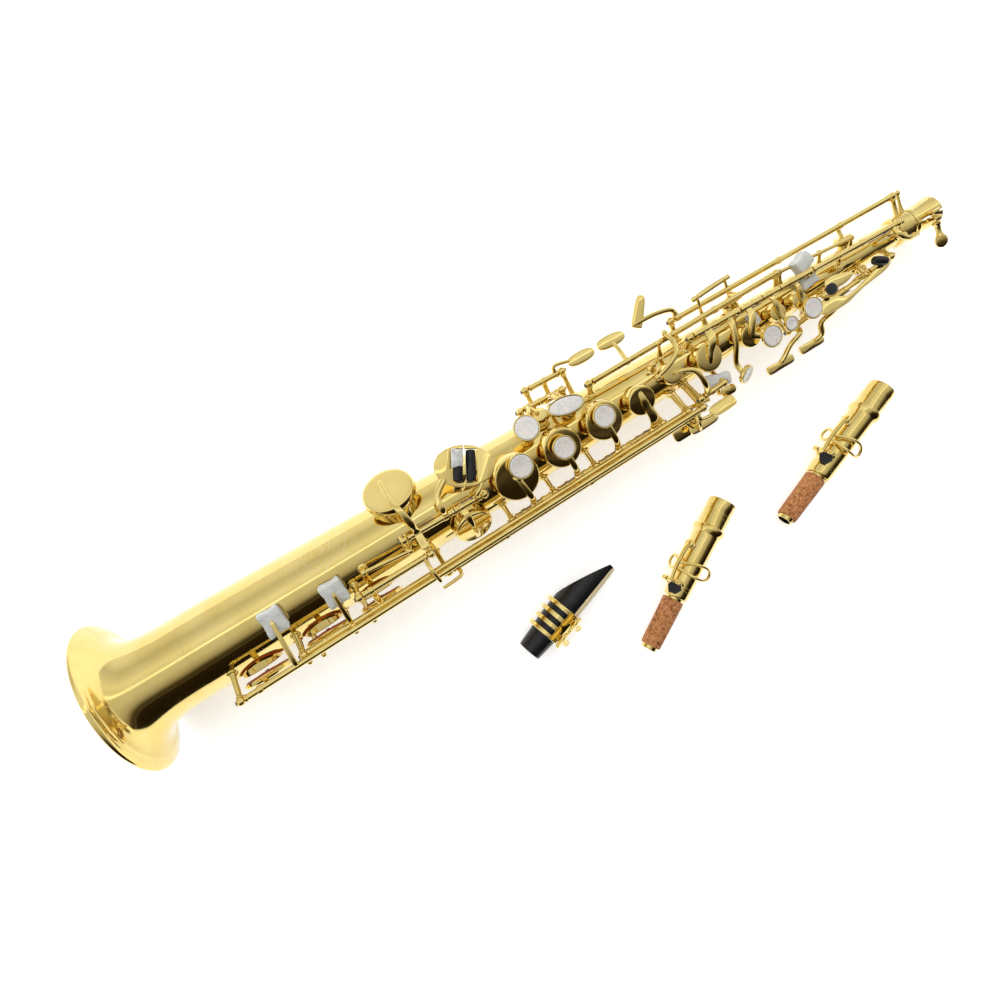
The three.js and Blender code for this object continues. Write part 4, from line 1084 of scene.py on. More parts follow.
# fittings on the back
def back():
    x = 300
    r = tube_r(x)
    tb = lambda xx: TABLE_Z + TABLE_SLOPE * xx
    n, u = unit(A(-TABLE_SLOPE, 0, 1)), unit(A(1, 0, TABLE_SLOPE))
    k = Mesh()
    k.add(slab((x, 0, -r - 1.15), (1, 0, 0), (0, 1, 0), closed_curve([(-10, -2.5), (-6, -4.4), (0, -3.4), (6, -4.4), (10, -2.5), (10, 2.5), (6, 4.4), (0, 3.4), (-6, 4.4), (-10, 2.5)], 72), 1.5, 0.4))
    k.add(sweep([A(x + 2, 0, -r - 1.4), A(x + 5, 0, -r - 5), A(x + 5, 0, -r - 11), A(x + 2, 0, tb(x) + 1.6)], [5.5, 6.5, 7.5, 8.5], [3.6, 3.2, 3.0, 2.4], up=(1, 0, 0)))
    k.add(slab(A(x, 0, tb(x)) + n * 1.25, u, (0, 1, 0), closed_curve(rect(15, 11, 4.5), 56), 2.5, 0.8))
    for dx in (-6.6, 6.6):
        k.add(spin([(0, 0), (0, 1.5), (0.7, 1.2), (0.9, 0)], (x + dx, 0, -r - 1.8), (0, 0, -1), 20, 0.1))
    fine("thumb_hook", k, ("key",))
    xt, rt = 432, tube_r(432)
    k = Mesh().add(spin([(0.4, 0), (0.4, 6.3), (3.2, 6.5), (4.3, 5.9), (4.9, 4.2), (4.6, 2.0), (4.4, 0)], (xt, 0, -rt), (0, 0, -1), 56, 0.3))
    fine("thumb_rest", k, ("satin",))
    xs, rs = 352, tube_r(352)
    k = Mesh()
    R, q = 5.0, 1.1
    v, f, N, K = [], [], 56, 16
    for i in range(N):
        t = 2 * math.pi * i / N
        for j in range(K):
            p = 2 * math.pi * j / K
            v.append((xs + (R + q * math.cos(p)) * math.cos(t), q * math.sin(p), -rs - 7.4 + (R + q * math.cos(p)) * math.sin(t)))
    for i in range(N):
        for j in range(K):
            a, b = i * K + j, i * K + (j + 1) % K
            c, e = ((i + 1) % N) * K + (j + 1) % K, ((i + 1) % N) * K + j
            f.append((a, b, c, e))
    k.add((v, f))
    k.add(slab((xs, 0, -rs - 1.2), (1, 0, 0), (0, 1, 0), closed_curve([(-6, -1.5), (-3, -3), (3, -3), (6, -1.5), (6, 1.5), (3, 3), (-3, 3), (-6, 1.5)], 56), 1.5, 0.4))
    fine("strap_ring", k, ("key",))


back()


# ------------------------------------------------------------------ bell keys
def bell_key(name, x0, x1, extra):
    b = BELL[name]
    c, n, r, H = A(*b["centre"]), A(*b["normal"]), b["r"], A(*b["H"])
    t = A(0, -n[2], n[1]) * (-1 if n[1] < 0 else 1)
    k = Mesh()
    prof = [(3.6, 0), (3.6, r - 0.95), (1.0, r - 0.9), (1.0, r - 0.1), (1.3, r), (3.3, r * 0.985), (4.3, r * 0.93), (4.6, r * 0.84), (4.75, r * 0.45), (4.85, 0)]
    k.add(spin(prof, c, n, 64, 0.2))
    k.add(spin([(4.6, 0), (4.6, 4.6), (5.5, 4.2), (6.4, 2.4), (6.5, 0)], c, n, 32, 0.3))
    edge = c + n * 5.6 + t * (r * 0.85)
    arm(k, [H + A(0, -0.2, -1.2), (H + edge) / 2 + n * 0.6, edge, c + n * 5.5, c + n * 5.1 - t * (r * 0.62)], 1.35, (1.05, 0.75), 1.35, up=n)
    hinge_tube(k, BELL_CUPS[name][0], x0, x1, [BELL_CUPS[name][1]])
    for e in extra:
        e(k)
    fine(name + "_key", k)
    p = Mesh()
    pad_disc(p, c, n, r - 1.4, 3.3, 0.0, 0, 1)
    fine(name + "_pad", p, ("leather", "gold"))


def spur(a, b):
    def f(k):
        m = (A(*a) + A(*b)) / 2 + A(0, 0, 1.6)
        k.add(sweep([A(*a) + A(0, -0.4, -0.6), A(*a) + A(0, 1.0, 1.6), m, A(*b) * 0.86 + m * 0.14, A(*b)], [3.0, 3.0, 2.7, 2.3, 0.9], [2.6, 2.4, 2.1, 1.8, 0.9]))
    return f


def tip(pts, r):
    return lambda k: arm(k, [A(*p) for p in pts], r)


def spat(c, u, v, outline, t=2.2, crown=0.35):
    return lambda k: k.add(slab(c, u, v, outline, t, 0.7, crown))


SPURS = {"low_bb": ([94.6, -34.2, 25.2], [96.4, -6.6, 32.0]), "low_b": ([130.2, -31.2, 20.4], [131.2, -11.0, 31.0])}
bell_key("low_bb", 63.0, 371.3, [spur(*SPURS["low_bb"]), tip([at("low_bb", 369.0), [369.4, -37.2, 13.4], [379, -38.4, 12.8]], 1.4), spat([386.5, -37.2, 12.6], [1, 0.02, 0], [0, 1, -0.2], closed_curve([(-9, -2.4), (-5, -3.8), (3, -3.9), (8, -3.2), (9, 0), (8, 3.2), (3, 3.9), (-5, 3.8), (-9, 2.4)], 64))])
bell_key("low_b", 101.8, 363.5, [spur(*SPURS["low_b"]), tip([at("low_b", 361.5), [360.5, -30.2, 4.5], [360, -35.0, 1.5]], 1.4), spat([360, -38.5, 0.6], [1, 0, 0], [0, 1, 0.3], closed_curve(rect(13, 9, 3), 56))])
bell_key("low_cs", 144.0, 184.6, [tip([at("low_cs", 183), [183, -28.0, 29.6], [184, -36.4, 27.4]], 1.2)])
k = Mesh()
hinge_tube(k, "cs_lever", 193.0, 364.0, [230, 290])
arm(k, [at("cs_lever", 196.2), A(196.2, -39.8, 18.8), A(190, -40.8, 22.0), A(184, -40.8, 24.5)], 1.2)
arm(k, [at("cs_lever", 362.2), A(362.4, -36.0, 9.0), A(364.4, -39.4, 8.2)], 1.25)
k.add(slab((372, -40.6, 7.6), (1, 0, 0), (0, 1, 0.1), closed_curve([(-9.8, -2), (-6, -3.2), (5, -3.2), (9.8, -2), (9.8, 2), (5, 3.2), (-6, 3.2), (-9.8, 2)], 56), 2.1, 0.7, 0.2))
fine("low_cs_lever", k)

# ------------------------------------------------------------------ low C, low E flat, rollers
u45, v45 = unit(A(0.87, -0.49, 0)), unit(A(0.49, 0.87, 0))


def D(s):
    # half moon with a straight notch for the roller
    half = [(0.35, -12.1), (5.5, -11.6), (10.5, -9.7), (14.4, -6.9), (16.6, -3.4), (17.4, 0), (16.6, 3.4), (14.4, 6.9), (10.5, 9.7), (5.5, 11.6), (0.35, 12.1), (0.35, 9.6), (7.1, 9.6), (7.1, -9.2), (0.35, -9.2)]
    return [(s * a, b) for a, b in half]


C0 = E0 = A(228.4, 11.45, 30.2)
over = lambda r0: standing("low_c", 24.6 + 0.35 + r0)
k = Mesh()
nC = unit(over(4) - over(0))
key_cup(k, over(0.7), nC, CUPS["low_c"][2], 4.3, 0.25)
arm(k, [over(5.2) + A(-1.5, 6.0, -2.6), A(183.4, 13.2, 34.6), A(185.0, 8.5, 36.6), A(186.4, -1.0, 33.6), A(186.8, -7.0, 28.6), A(186.6, -16.0, 30.6)], 1.5, (0.5, 1.0), 1.5)
hinge_tube(k, "low_c_eb", 181.0, 210.6, [186.8, 205])
arm(k, [at("low_c_eb", 205.6), A(205.4, -3.0, 31.2), A(206.4, 4.5, 31.5), A(214.2, 10.8, 31.0)], 1.4, (1, 1), 1.3)
k.add(slab(C0, u45, v45, D(-1), 2.0, 0.55, 0))
fine("low_c_key", k)
k = Mesh()
pad_disc(k, over(0), nC, 13.2, 3.4, 0.0, 0, 1)
fine("low_c_pad", k, ("leather", "gold"))


def closed_cup(k, name, depth=4.8, dome=0.25, boss=True, mat=0):
    x, deg, r, face = CUPS[name]
    key_cup(k, on(x, deg, face - depth), radial(deg), r, depth - 0.1, dome, mat)


def hidden_pad(name, p0, n, r, body):
    k = Mesh()
    pad_disc(k, p0, n, r - 1.2, 2.6, -0.05)
    make(name + "_inner_pad", body, k, ("leather",), slot="leather")


k = Mesh()
closed_cup(k, "low_eb")
hinge_tube(k, "low_c_eb", 211.2, 227.8, [215.6, 224.6])
arm(k, [at("low_c_eb", 215.6), A(215.8, -13.5, 26.6), A(216.2, -21.4, 20.6), A(216.4, -24.6, 15.6), A(216.4, -26.2, 11.6)], 1.35, (1, 0.7), 1.4)
arm(k, [at("low_c_eb", 224.6), A(227.0, -5.6, 30.4), A(232.2, -1.6, 30.0)], 1.35)
k.add(slab(E0, u45, v45, D(1), 2.0, 0.55, 0))
fine("low_eb_key", k)
hidden_pad("low_eb", on(216.8, -52, 22.35), radial(-52), 12.0, "low_eb")
for name, o, kk in (("low_c_roller", C0, -3.75), ("low_eb_roller", E0, 3.75)):
    c0 = o + u45 * kk
    k = Mesh().add(spin([(-8.7, 0), (-8.7, 2.3), (-8.2, 2.75), (-4, 2.95), (0, 3.0), (4.6, 2.95), (8.6, 2.75), (9.1, 2.3), (9.1, 0)], c0, v45, 40, 0.15))
    fine(name, k, ("roller",))

# ------------------------------------------------------------------ lower stack
def stack_key(name, line, x0, x1, hx, via, collars=()):
    x, deg, r, face = CUPS[name]
    top = HOLE[name][4] + 0.35
    p0, n = standing(name, top), unit(standing(name, top + 1) - standing(name, top))
    k = Mesh()
    key_cup(k, p0, n, r, 4.7, 0.2)
    tp = on(x, deg, face + 0.7)
    H = at(line, hx)
    arm(k, [H, A(*via), tp * 0.55 + A(*via) * 0.45 + n * 0.8, tp], 1.3, (1.0, 0.8), 1.5)
    hinge_tube(k, line, x0, x1, [hx] + list(collars))
    c, pn, pr = pearl_seat(k, name)
    a = on(x, deg, face - 0.6)
    k.add(spin([(0, 0), (0, 3.4), (np.linalg.norm(c - pn * 2.4 - a) * 0.5, 2.2), (np.linalg.norm(c - pn * 2.4 - a), 3.0), (np.linalg.norm(c - pn * 2.4 - a), 0)], a, c - pn * 2.4 - a, 28, 0.4))
    fine(name + "_key", k)
    pearl_piece(name)
    hidden_pad(name, p0, n, r, NODE_BODY[name + "_key"])


stack_key("d", "lower_stack", 241.2, 266.6, 254.4, [253.6, -24.2, 21.0], (247, 261))
stack_key("e", "lower_stack", 271.8, 296.6, 285.6, [284.9, -23.2, 20.0], (278, 291))
stack_key("f", "lower_stack", 301.8, 324.6, 315.4, [314.8, -22.2, 19.0], (308, 320))
k = Mesh()
p0, n = standing("fs", 18.35), unit(standing("fs", 20) - standing("fs", 19))
key_cup(k, p0, n, 9.3, 4.7, 0.2)
arm(k, [at("lower_stack", 342.8), A(342.6, -22.4, 17.2), on(341, -30, 25.2), on(340.6, -20, 25.4), on(340.4, -8, 25.0)], 1.45, (1.1, 0.5), 2.0)
hinge_tube(k, "lower_stack", 325.2, 347.0, [331, 337, 342.8])
fine("fs_key", k)
hidden_pad("fs", p0, n, 9.3, "fs")

# ------------------------------------------------------------------ upper stack
def upper(name, x0, x1, arms, collars=()):
    x, deg, r, face = CUPS[name]
    top = HOLE[name][4] + 0.35
    p0, n = standing(name, top), unit(standing(name, top + 1) - standing(name, top))
    k = Mesh()
    key_cup(k, p0, n, r, 4.7, 0.2, seg=48)
    hinge_tube(k, "upper_stack", x0, x1, collars)
    for pts, rr, tp, fl in arms:
        arm(k, [A(*p) for p in pts], rr, tp, fl)
    pearl_seat(k, name, deep=2.7)
    fine(name + "_key", k)
    pearl_piece(name)
    hidden_pad(name, p0, n, r, name)


def stem(name, q=-2.2):
    c, r, lean, along = PEARLS[name]
    n = unit(A(math.sin(rad(along)), math.sin(rad(lean)) * math.cos(rad(along)), math.cos(rad(lean)) * math.cos(rad(along))))
    return A(*c) + n * q


upper("g", 387.8, 417.6, [([at("upper_stack", 397.2), [396.0, 0.5, 25.4], on(392.6, -12, 23.6), on(391, -22, 23.3), on(390.4, -32, 22.6)], 1.35, (1.0, 0.45), 2.2),
                          ([at("upper_stack", 414.2), [412.4, 2.0, 24.6], [409.4, -10.0, 21.4], [406.6, -20.5, 15.2], stem("g")], 1.4, (1, 0.95), 1.25)], (397.2, 404, 414.2))
upper("a", 422.8, 438.6, [([at("upper_stack", 427.8), [427.2, 0.5, 23.4], on(424.4, -14, 22.4), on(423.6, -26, 22.2), stem("a")], 1.35, (1.0, 0.9), 1.6)], (427.8, 434))
upper("bis", 439.2, 452.4, [([at("upper_stack", 445.0), [445.4, 1.0, 22.0], on(445.7, -18, 20.9), stem("bis")], 1.2, (1, 0.9), 1.3)], (445,))
upper("b", 453.0, 474.0, [([at("upper_stack", 464.0), [464.2, 0.5, 21.5], on(464, -20, 20.3), stem("b")], 1.2, (1, 0.9), 1.3)], (464, 470))

# G sharp
k = Mesh()
x, deg, r, face = CUPS["gs"]
closed_cup(k, "gs")
hinge_tube(k, "gs", 377.6, 391.0, [384])
arm(k, [at("gs", 380.4), A(379.2, -20.5, 22.4), A(376.2, -10.0, 26.0), A(369.5, -5.8, 24.4), on(366.5, deg, face + 0.4)], 1.35, (1, 0.7), 1.3)
arm(k, [at("gs", 389.0), A(389.4, -29.8, 10.2), A(393.5, -30.4, 9.2)], 1.3)
k.add(slab((396.6, -31.2, 8.8), (1, 0, 0), (0, 1, 0.3), closed_curve(rect(10.4, 6, 2.4), 48), 2.1, 0.7, 0.3))
fine("gs_key", k)
hidden_pad("gs", on(x, deg, face - 4.7), radial(deg), r, "gs")

# ------------------------------------------------------------------ side keys
def touch(c, u, v, L, W, t=2.8, crown=0.5):
    return slab(c, u, v, closed_curve([(-L / 2, 0), (-L * 0.45, -W * 0.32), (-L * 0.28, -W * 0.48), (0, -W * 0.53), (L * 0.28, -W * 0.47), (L * 0.45, -W * 0.3), (L / 2, 0), (L * 0.45, W * 0.3), (L * 0.28, W * 0.48), (0, W * 0.53), (-L * 0.28, W * 0.48), (-L * 0.45, W * 0.32)], 72), t, 1.0, crown)


def side_cup(k, name, depth):
    closed_cup(k, name, depth + 0.0)


k = Mesh()
x, deg, r, face = CUPS["side_bb"]
key_cup(k, on(x, deg, face - 4.0), radial(deg), r, 3.9, 0.2)
hinge_tube(k, "side_bb", 288.2, 308.6, [298.5])
arm(k, [at("side_bb", 298.5), A(298.7, 29.0, 6.0), on(299, 84, 23.9)], 1.3, (1, 0.8), 1.3)
arm(k, [at("side_bb", 307.2), A(307.6, 36.4, 12.4), A(318.5, 34.6, 12.4)], 1.3)
k.add(touch((325.6, 33.0, 12.3), (1, -0.04, 0), (0.04, 1, 0), 18.4, 7.2, 2.4, 0.3))
fine("side_bb_key", k)
hidden_pad("side_bb", on(x, deg, face - 3.95), radial(deg), r, "side_bb")
k = Mesh()
x, deg, r, face = CUPS["side_c"]
key_cup(k, on(x, deg, face - 4.0), radial(deg), r, 3.9, 0.2)
hinge_tube(k, "side_c", 321.2, 456.8, [346.4, 380, 412, 430])
arm(k, [at("side_c", 430), A(430, 19.4, 12.0), on(430, 76, 19.0)], 1.3, (1, 0.8), 1.3)
arm(k, [at("side_c", 346.4), A(346.6, 24.5, 16.5), A(347, 30.4, 13.0)], 1.4)
k.add(touch((346.8, 32.4, 12.3), (1, -0.07, 0), (0.07, 1, 0), 19.2, 7.6, 2.4, 0.3))
fine("side_c_key", k)
hidden_pad("side_c", on(x, deg, face - 3.95), radial(deg), r, "side_c")
k = Mesh()
x, deg, r, face = CUPS["high_e"]
key_cup(k, on(x, deg, face - 3.8), radial(deg), r, 3.7, 0.2)
hinge_tube(k, "side", 389.0, 560.8, [391.8, 430, 470, 520])
arm(k, [at("side", 520), A(520, 20.0, 6.0), on(520, 70, 15.7)], 1.3, (1, 0.8), 1.3)
arm(k, [at("side", 391.0), A(390.4, 29.0, 13.2), A(380.0, 32.4, 14.0), A(364.6, 33.4, 13.6)], 1.6, (1, 1.0), 1.2)
k.add(slab((370.5, 38.4, 14.6), (0.62, 0.78, 0.12), (-0.78, 0.62, 0), closed_curve([(-9.6, -2.2), (-8.4, -3.4), (0, -3.4), (8.6, -2.6), (10.4, 0), (8.6, 2.6), (0, 3.4), (-8.4, 3.4), (-9.6, 2.2)], 72), 2.3, 0.9, 0.2))
fine("high_e_key", k)
hidden_pad("high_e", on(x, deg, face - 3.75), radial(deg), r, "high_e")
k = Mesh()
x, deg, r, face = CUPS["trill"]
key_cup(k, on(x, deg, face - 3.8), radial(deg), r, 3.7, 0.2)
hinge_tube(k, "trill", 277.8, 288.4, [281])
arm(k, [at("trill", 281.6), on(282.6, 41, 26.0)], 1.3)
arm(k, [at("trill", 279.8), A(279.4, 21.6, 21.0), A(272.0, 14.5, 29.2), stem("trill", -2.0)], 1.3)
pearl_seat(k, "trill")
fine("trill_key", k)
pearl_piece("trill")
hidden_pad("trill", on(x, deg, face - 3.75), radial(deg), r, "trill")
k = Mesh()
x, deg, r, face = CUPS["high_fs"]
P = A(*PEARLS["high_fs"][0])
uu, vv = (0.985, -0.17, 0), (0.17, 0.985, -0.1)
key_cup(k, on(x, deg, face - 3.8), radial(deg), r, 3.7, 0.2)
hinge_tube(k, "trill", 289.0, 302.2, [295])
arm(k, [at("trill", 300.4), A(300.2, 17.0, 19.8), on(300, 26, 22.7)], 1.25, (1, 0.8))
arm(k, [at("trill", 294.6), A(295.0, 20.0, 23.6), A(296, 14.4, 29.0), P + A(0, 0, -2.7)], 1.35)
# oval frame that holds the pearl
ring = []
for a, b, z in ((10.7, 5.05, 0.55), (11.35, 5.65, 0.35), (11.4, 5.7, -0.9), (10.9, 5.2, -2.0), (6.0, 2.6, -2.3)):
    ring.append((a, b, z))
U, Vv = unit(uu), None
W = unit(np.cross(U, vv))
Vv = np.cross(W, U)
v, f, n = [], [], 64
prof = [(10.55, 4.95, -0.62), (10.55, 4.95, 0.35), (10.9, 5.3, 0.55), (11.35, 5.65, 0.3), (11.4, 5.7, -1.4), (10.8, 5.1, -2.2), (5.0, 2.0, -2.4)]
for a, b, z in prof:
    for i in range(n):
        t = 2 * math.pi * i / n
        v.append(P + U * a * math.cos(t) + Vv * b * math.sin(t) + W * z)
for r0 in range(len(prof) - 1):
    for i in range(n):
        j = (i + 1) % n
        f.append([r0 * n + i, r0 * n + j, (r0 + 1) * n + j, (r0 + 1) * n + i])
f.append([i for i in range(n)])
f.append([(len(prof) - 1) * n + i for i in range(n)])
k.add((v, f))
fine("high_fs_key", k)
k = Mesh().add(slab(P, uu, vv, oval(10.35, 4.75, 72), 1.0, 0.35, 0.15))
fine("high_fs_pearl", k, ("pearl",))
hidden_pad("high_fs", on(x, deg, face - 3.75), radial(deg), r, "high_fs")

# octave key
k = Mesh()
hinge_tube(k, "upper_stack", 479.2, 546.0, [500, 520, 544])
arm(k, [at("upper_stack", 544.2), A(544.6, -3.4, 18.6), A(551.0, -8.4, 15.6), A(562.0, -9.2, 12.0)], 1.3, (1, 0.9), 1.3)
arm(k, [at("upper_stack", 500), A(500.4, 0.2, 15.2), A(500.4, -0.6, 14.2)], 1.3)
k.add(spin([(0, 0), (0, 2.0), (0.4, 2.55), (2.6, 2.55), (3.2, 1.8), (3.3, 0)], (500.4, -0.6, 11.4), (0, 0, 1), 32, 0.2))
fine("octave_key", k)

# ------------------------------------------------------------------ palm keys
def hook(c, L, W):
    # spatula of a palm touch: long rounded bar with domed faces
    return slab(c, (1, 0, 0), (0, 1, 0.2), closed_curve([(-L / 2, -W * 0.2), (-L * 0.42, -W * 0.48), (0, -W * 0.5), (L * 0.42, -W * 0.48), (L / 2, 0), (L * 0.42, W * 0.45), (0, W * 0.42), (-L * 0.42, W * 0.48), (-L / 2, W * 0.2)], 72), 2.0, 0.7, 0.3)


def palm_cup(k, name):
    x, deg, r, face = CUPS[name]
    key_cup(k, on(x, deg, face - 3.8), radial(deg), r, 3.7, 0.2)
    hidden_pad(name, on(x, deg, face - 3.75), radial(deg), r, name)


k = Mesh()
palm_cup(k, "palm_d")
hinge_tube(k, "palm", 454.2, 484.4, [457, 470, 478])
arm(k, [at("palm", 478), A(478, -20.5, 3.0), on(478, -100, 17.3)], 1.2, (1, 0.8), 1.2)
arm(k, [at("palm", 457), A(456.4, -23.6, 11.4), A(446.4, -27.4, 10.6), A(440.9, -31.6, 8.4), A(438.0, -33.6, 6.8)], 1.75, (0.9, 1.1), 1.2)
k.add(hook((436.8, -34.6, 6.2), 20.5, 5.8))
fine("palm_d_key", k)
k = Mesh()
palm_cup(k, "palm_eb")
hinge_tube(k, "palm", 489.6, 516.4, [492, 500, 510])
arm(k, [at("palm", 500), A(500, -19.0, 3.0), on(500, -100, 16.5)], 1.2, (1, 0.8), 1.2)
arm(k, [at("palm", 491.6), A(491.0, -20.8, 11.8), A(481.0, -23.6, 12.0), A(471.4, -25.8, 11.6), A(469.8, -32.0, 9.0), A(466.0, -33.4, 7.0)], 1.75, (0.9, 1.05), 1.2)
k.add(hook((462.0, -34.2, 6.2), 18.5, 5.8))
fine("palm_eb_key", k)
k = Mesh()
palm_cup(k, "palm_f")
hinge_tube(k, "palm", 521.6, 538.0, [524, 529])
arm(k, [at("palm", 524), A(524, -17.2, 3.0), on(524, -96, 15.5)], 1.2, (1, 0.8), 1.2)
arm(k, [at("palm", 529.0), A(528.6, -15.2, 12.0), A(528.0, -15.6, 15.4)], 1.4)
PALM_PLATE = [[472.4, -21.8], [488.7, -23.7], [505.4, -20.5], [525.9, -18.1], [532.3, -13.4], [528.7, -11.4], [513.9, -15.6], [494.9, -19.2], [486.3, -16.0], [477.7, -13.8]]
k.add(slab((0, 0, 16.0), (1, 0, 0), (0, 1, 0), closed_curve(PALM_PLATE, 96), 1.8, 0.6, 0))
fine("palm_f_key", k)


# ------------------------------------------------------------------ loose pieces
def loose(fr, to, height, roll):
    n = unit(A(-TABLE_SLOPE, 0, 1))
    lift = lambda p: A(p[0], p[1], TABLE_Z + TABLE_SLOPE * p[0]) + n * height
    a = lift(fr)
    x = unit(lift(to) - a)
    y0 = unit(np.cross(n, x))
    z = n * math.cos(rad(roll)) + y0 * math.sin(rad(roll))
    y = np.cross(z, x)
    Mx = np.stack([x, y, z], 0)
    return lambda p: np.asarray(p, float).reshape(-1, 3) @ Mx + a


def neck(prefix, fr, to, L):
    g = loose(fr, to, 10.9, 55)
    k = Mesh()
    prof = [(0, 4.2), (0, 5.0), (37.5, 5.7), (37.5, 7.2), (38.2, 7.8), (39.5, 8.0), (L - 26.5, 8.7), (L - 24.5, 8.9), (L - 23.2, 9.9), (L - 21.6, 10.6), (L - 19.8, 10.6), (L - 19.2, 9.8), (L - 18.8, 9.0), (L - 6, 9.0), (L - 5.4, 9.2), (L, 9.2), (L, 7.8), (L - 20, 7.8), (L - 26, 7.6), (40, 6.9), (38.6, 6.2), (37.2, 4.9)]
    k.add(spin(soften(prof, 0.25, 3), (0, 0, 0), (1, 0, 0), 80))
    for x in (L - 12.5, L - 9.5, 43.0, 45.2):
        r1 = 9.0 if x > 60 else 8.05
        k.add(spin([(x, r1 - 0.2), (x, r1 + 0.2), (x + 0.7, r1 + 0.2), (x + 0.7, r1 - 0.2)], (0, 0, 0), (1, 0, 0), 72, 0.15))
    k.add(spin([(7.8, 0.8), (7.8, 2.7), (8.6, 2.4), (9.1, 1.8), (10.4, 1.7), (10.4, 0.8)], (L - 36, 0, 0), (0, 0, 1), 28, 0.12))
    for s in (-1, 1):
        k.add(spin([(5.9, 0), (5.9, 2.4), (8.1, 2.2), (8.6, 1.4), (10.6, 1.3), (10.6, 0)], (L - 62, s * 4.6, 0), (0, 0, 1), 24, 0.12))
        k.add(rod((L - 62, s * 3.5, 10.6), (L - 62, s * 6.2, 10.6), 1.7, 24, 0.4))
        k.add(ball((L - 62, s * 6.4, 10.6), 1.75, 20))
    fine(prefix + "_tube", k, ("gold",), xf=g)
    c = Mesh().add(spin(soften([(2.5, 5.35), (2.5, 6.1), (3.6, 6.5), (10.0, 6.62), (18.0, 6.7), (28.0, 6.85), (35.4, 6.95), (36, 6.7), (36, 5.98)], 0.3, 3), (0, 0, 0), (1, 0, 0), 110))
    # slight lumps of the sanded cork
    cv = np.array(c.v)
    rr = np.hypot(cv[:, 1], cv[:, 2])
    w = 0.09 * np.sin(cv[:, 0] * 1.9 + 3 * np.arctan2(cv[:, 1], cv[:, 2])) * (rr > 6.2)
    cv[:, 1] *= 1 + w / rr
    cv[:, 2] *= 1 + w / rr
    c.v = cv.tolist()
    fine(prefix + "_cork", c, ("cork",), xf=g)
    q = Mesh()
    q.add(rod((L - 62, -3.0, 10.6), (L - 62, 3.0, 10.6), 1.6, 24, 0.3))
    q.add(sweep([A(L - 62, 0, 11.6), A(L - 55, 0, 13.2), A(L - 49, 0, 13.6), A(L - 41, 0, 13.2), A(L - 36, 0, 12.5)], [2.6, 2.8, 2.8, 3.4, 4.6], [2.2, 2.2, 2.2, 2.0, 1.8], up=(0, 0, 1)))
    q.add(spin([(10.9, 0), (10.9, 2.4), (11.2, 2.9), (12.6, 3.0), (13.3, 2.3), (13.5, 0)], (L - 36, 0, 0), (0, 0, 1), 32, 0.15))
    # wire yoke: two open eyes, one each side of the lever, reaching over the tube
    for s, sweepdeg in ((-1, 118), (1, 44)):
        def over_tube(t, x, r):
            return A(x, r * math.sin(rad(s * t)), r * math.cos(rad(s * t)))
        a, m = sweepdeg, sweepdeg * 0.55
        loop = [over_tube(0, L - 53, 12.6), over_tube(m, L - 54.5, 12.2), over_tube(a * 0.86, L - 53, 12.6), over_tube(a, L - 49.5, 13.4), over_tube(a * 0.86, L - 46, 12.9), over_tube(m, L - 46, 12.5), over_tube(0, L - 50, 12.9)]
        q.add(sweep(loop, [2.0] * len(loop), [1.8] * len(loop), up=(1, 0, 0)))
    fine(prefix + "_octave_key", q, ("key",), xf=g)
    return g


gA = neck("neck_a", [275.1, -147.8], [368.4, -93.1], 108.3)
gB = neck("neck_b", [397.7, -125.1], [504.1, -85.7], 113.6)


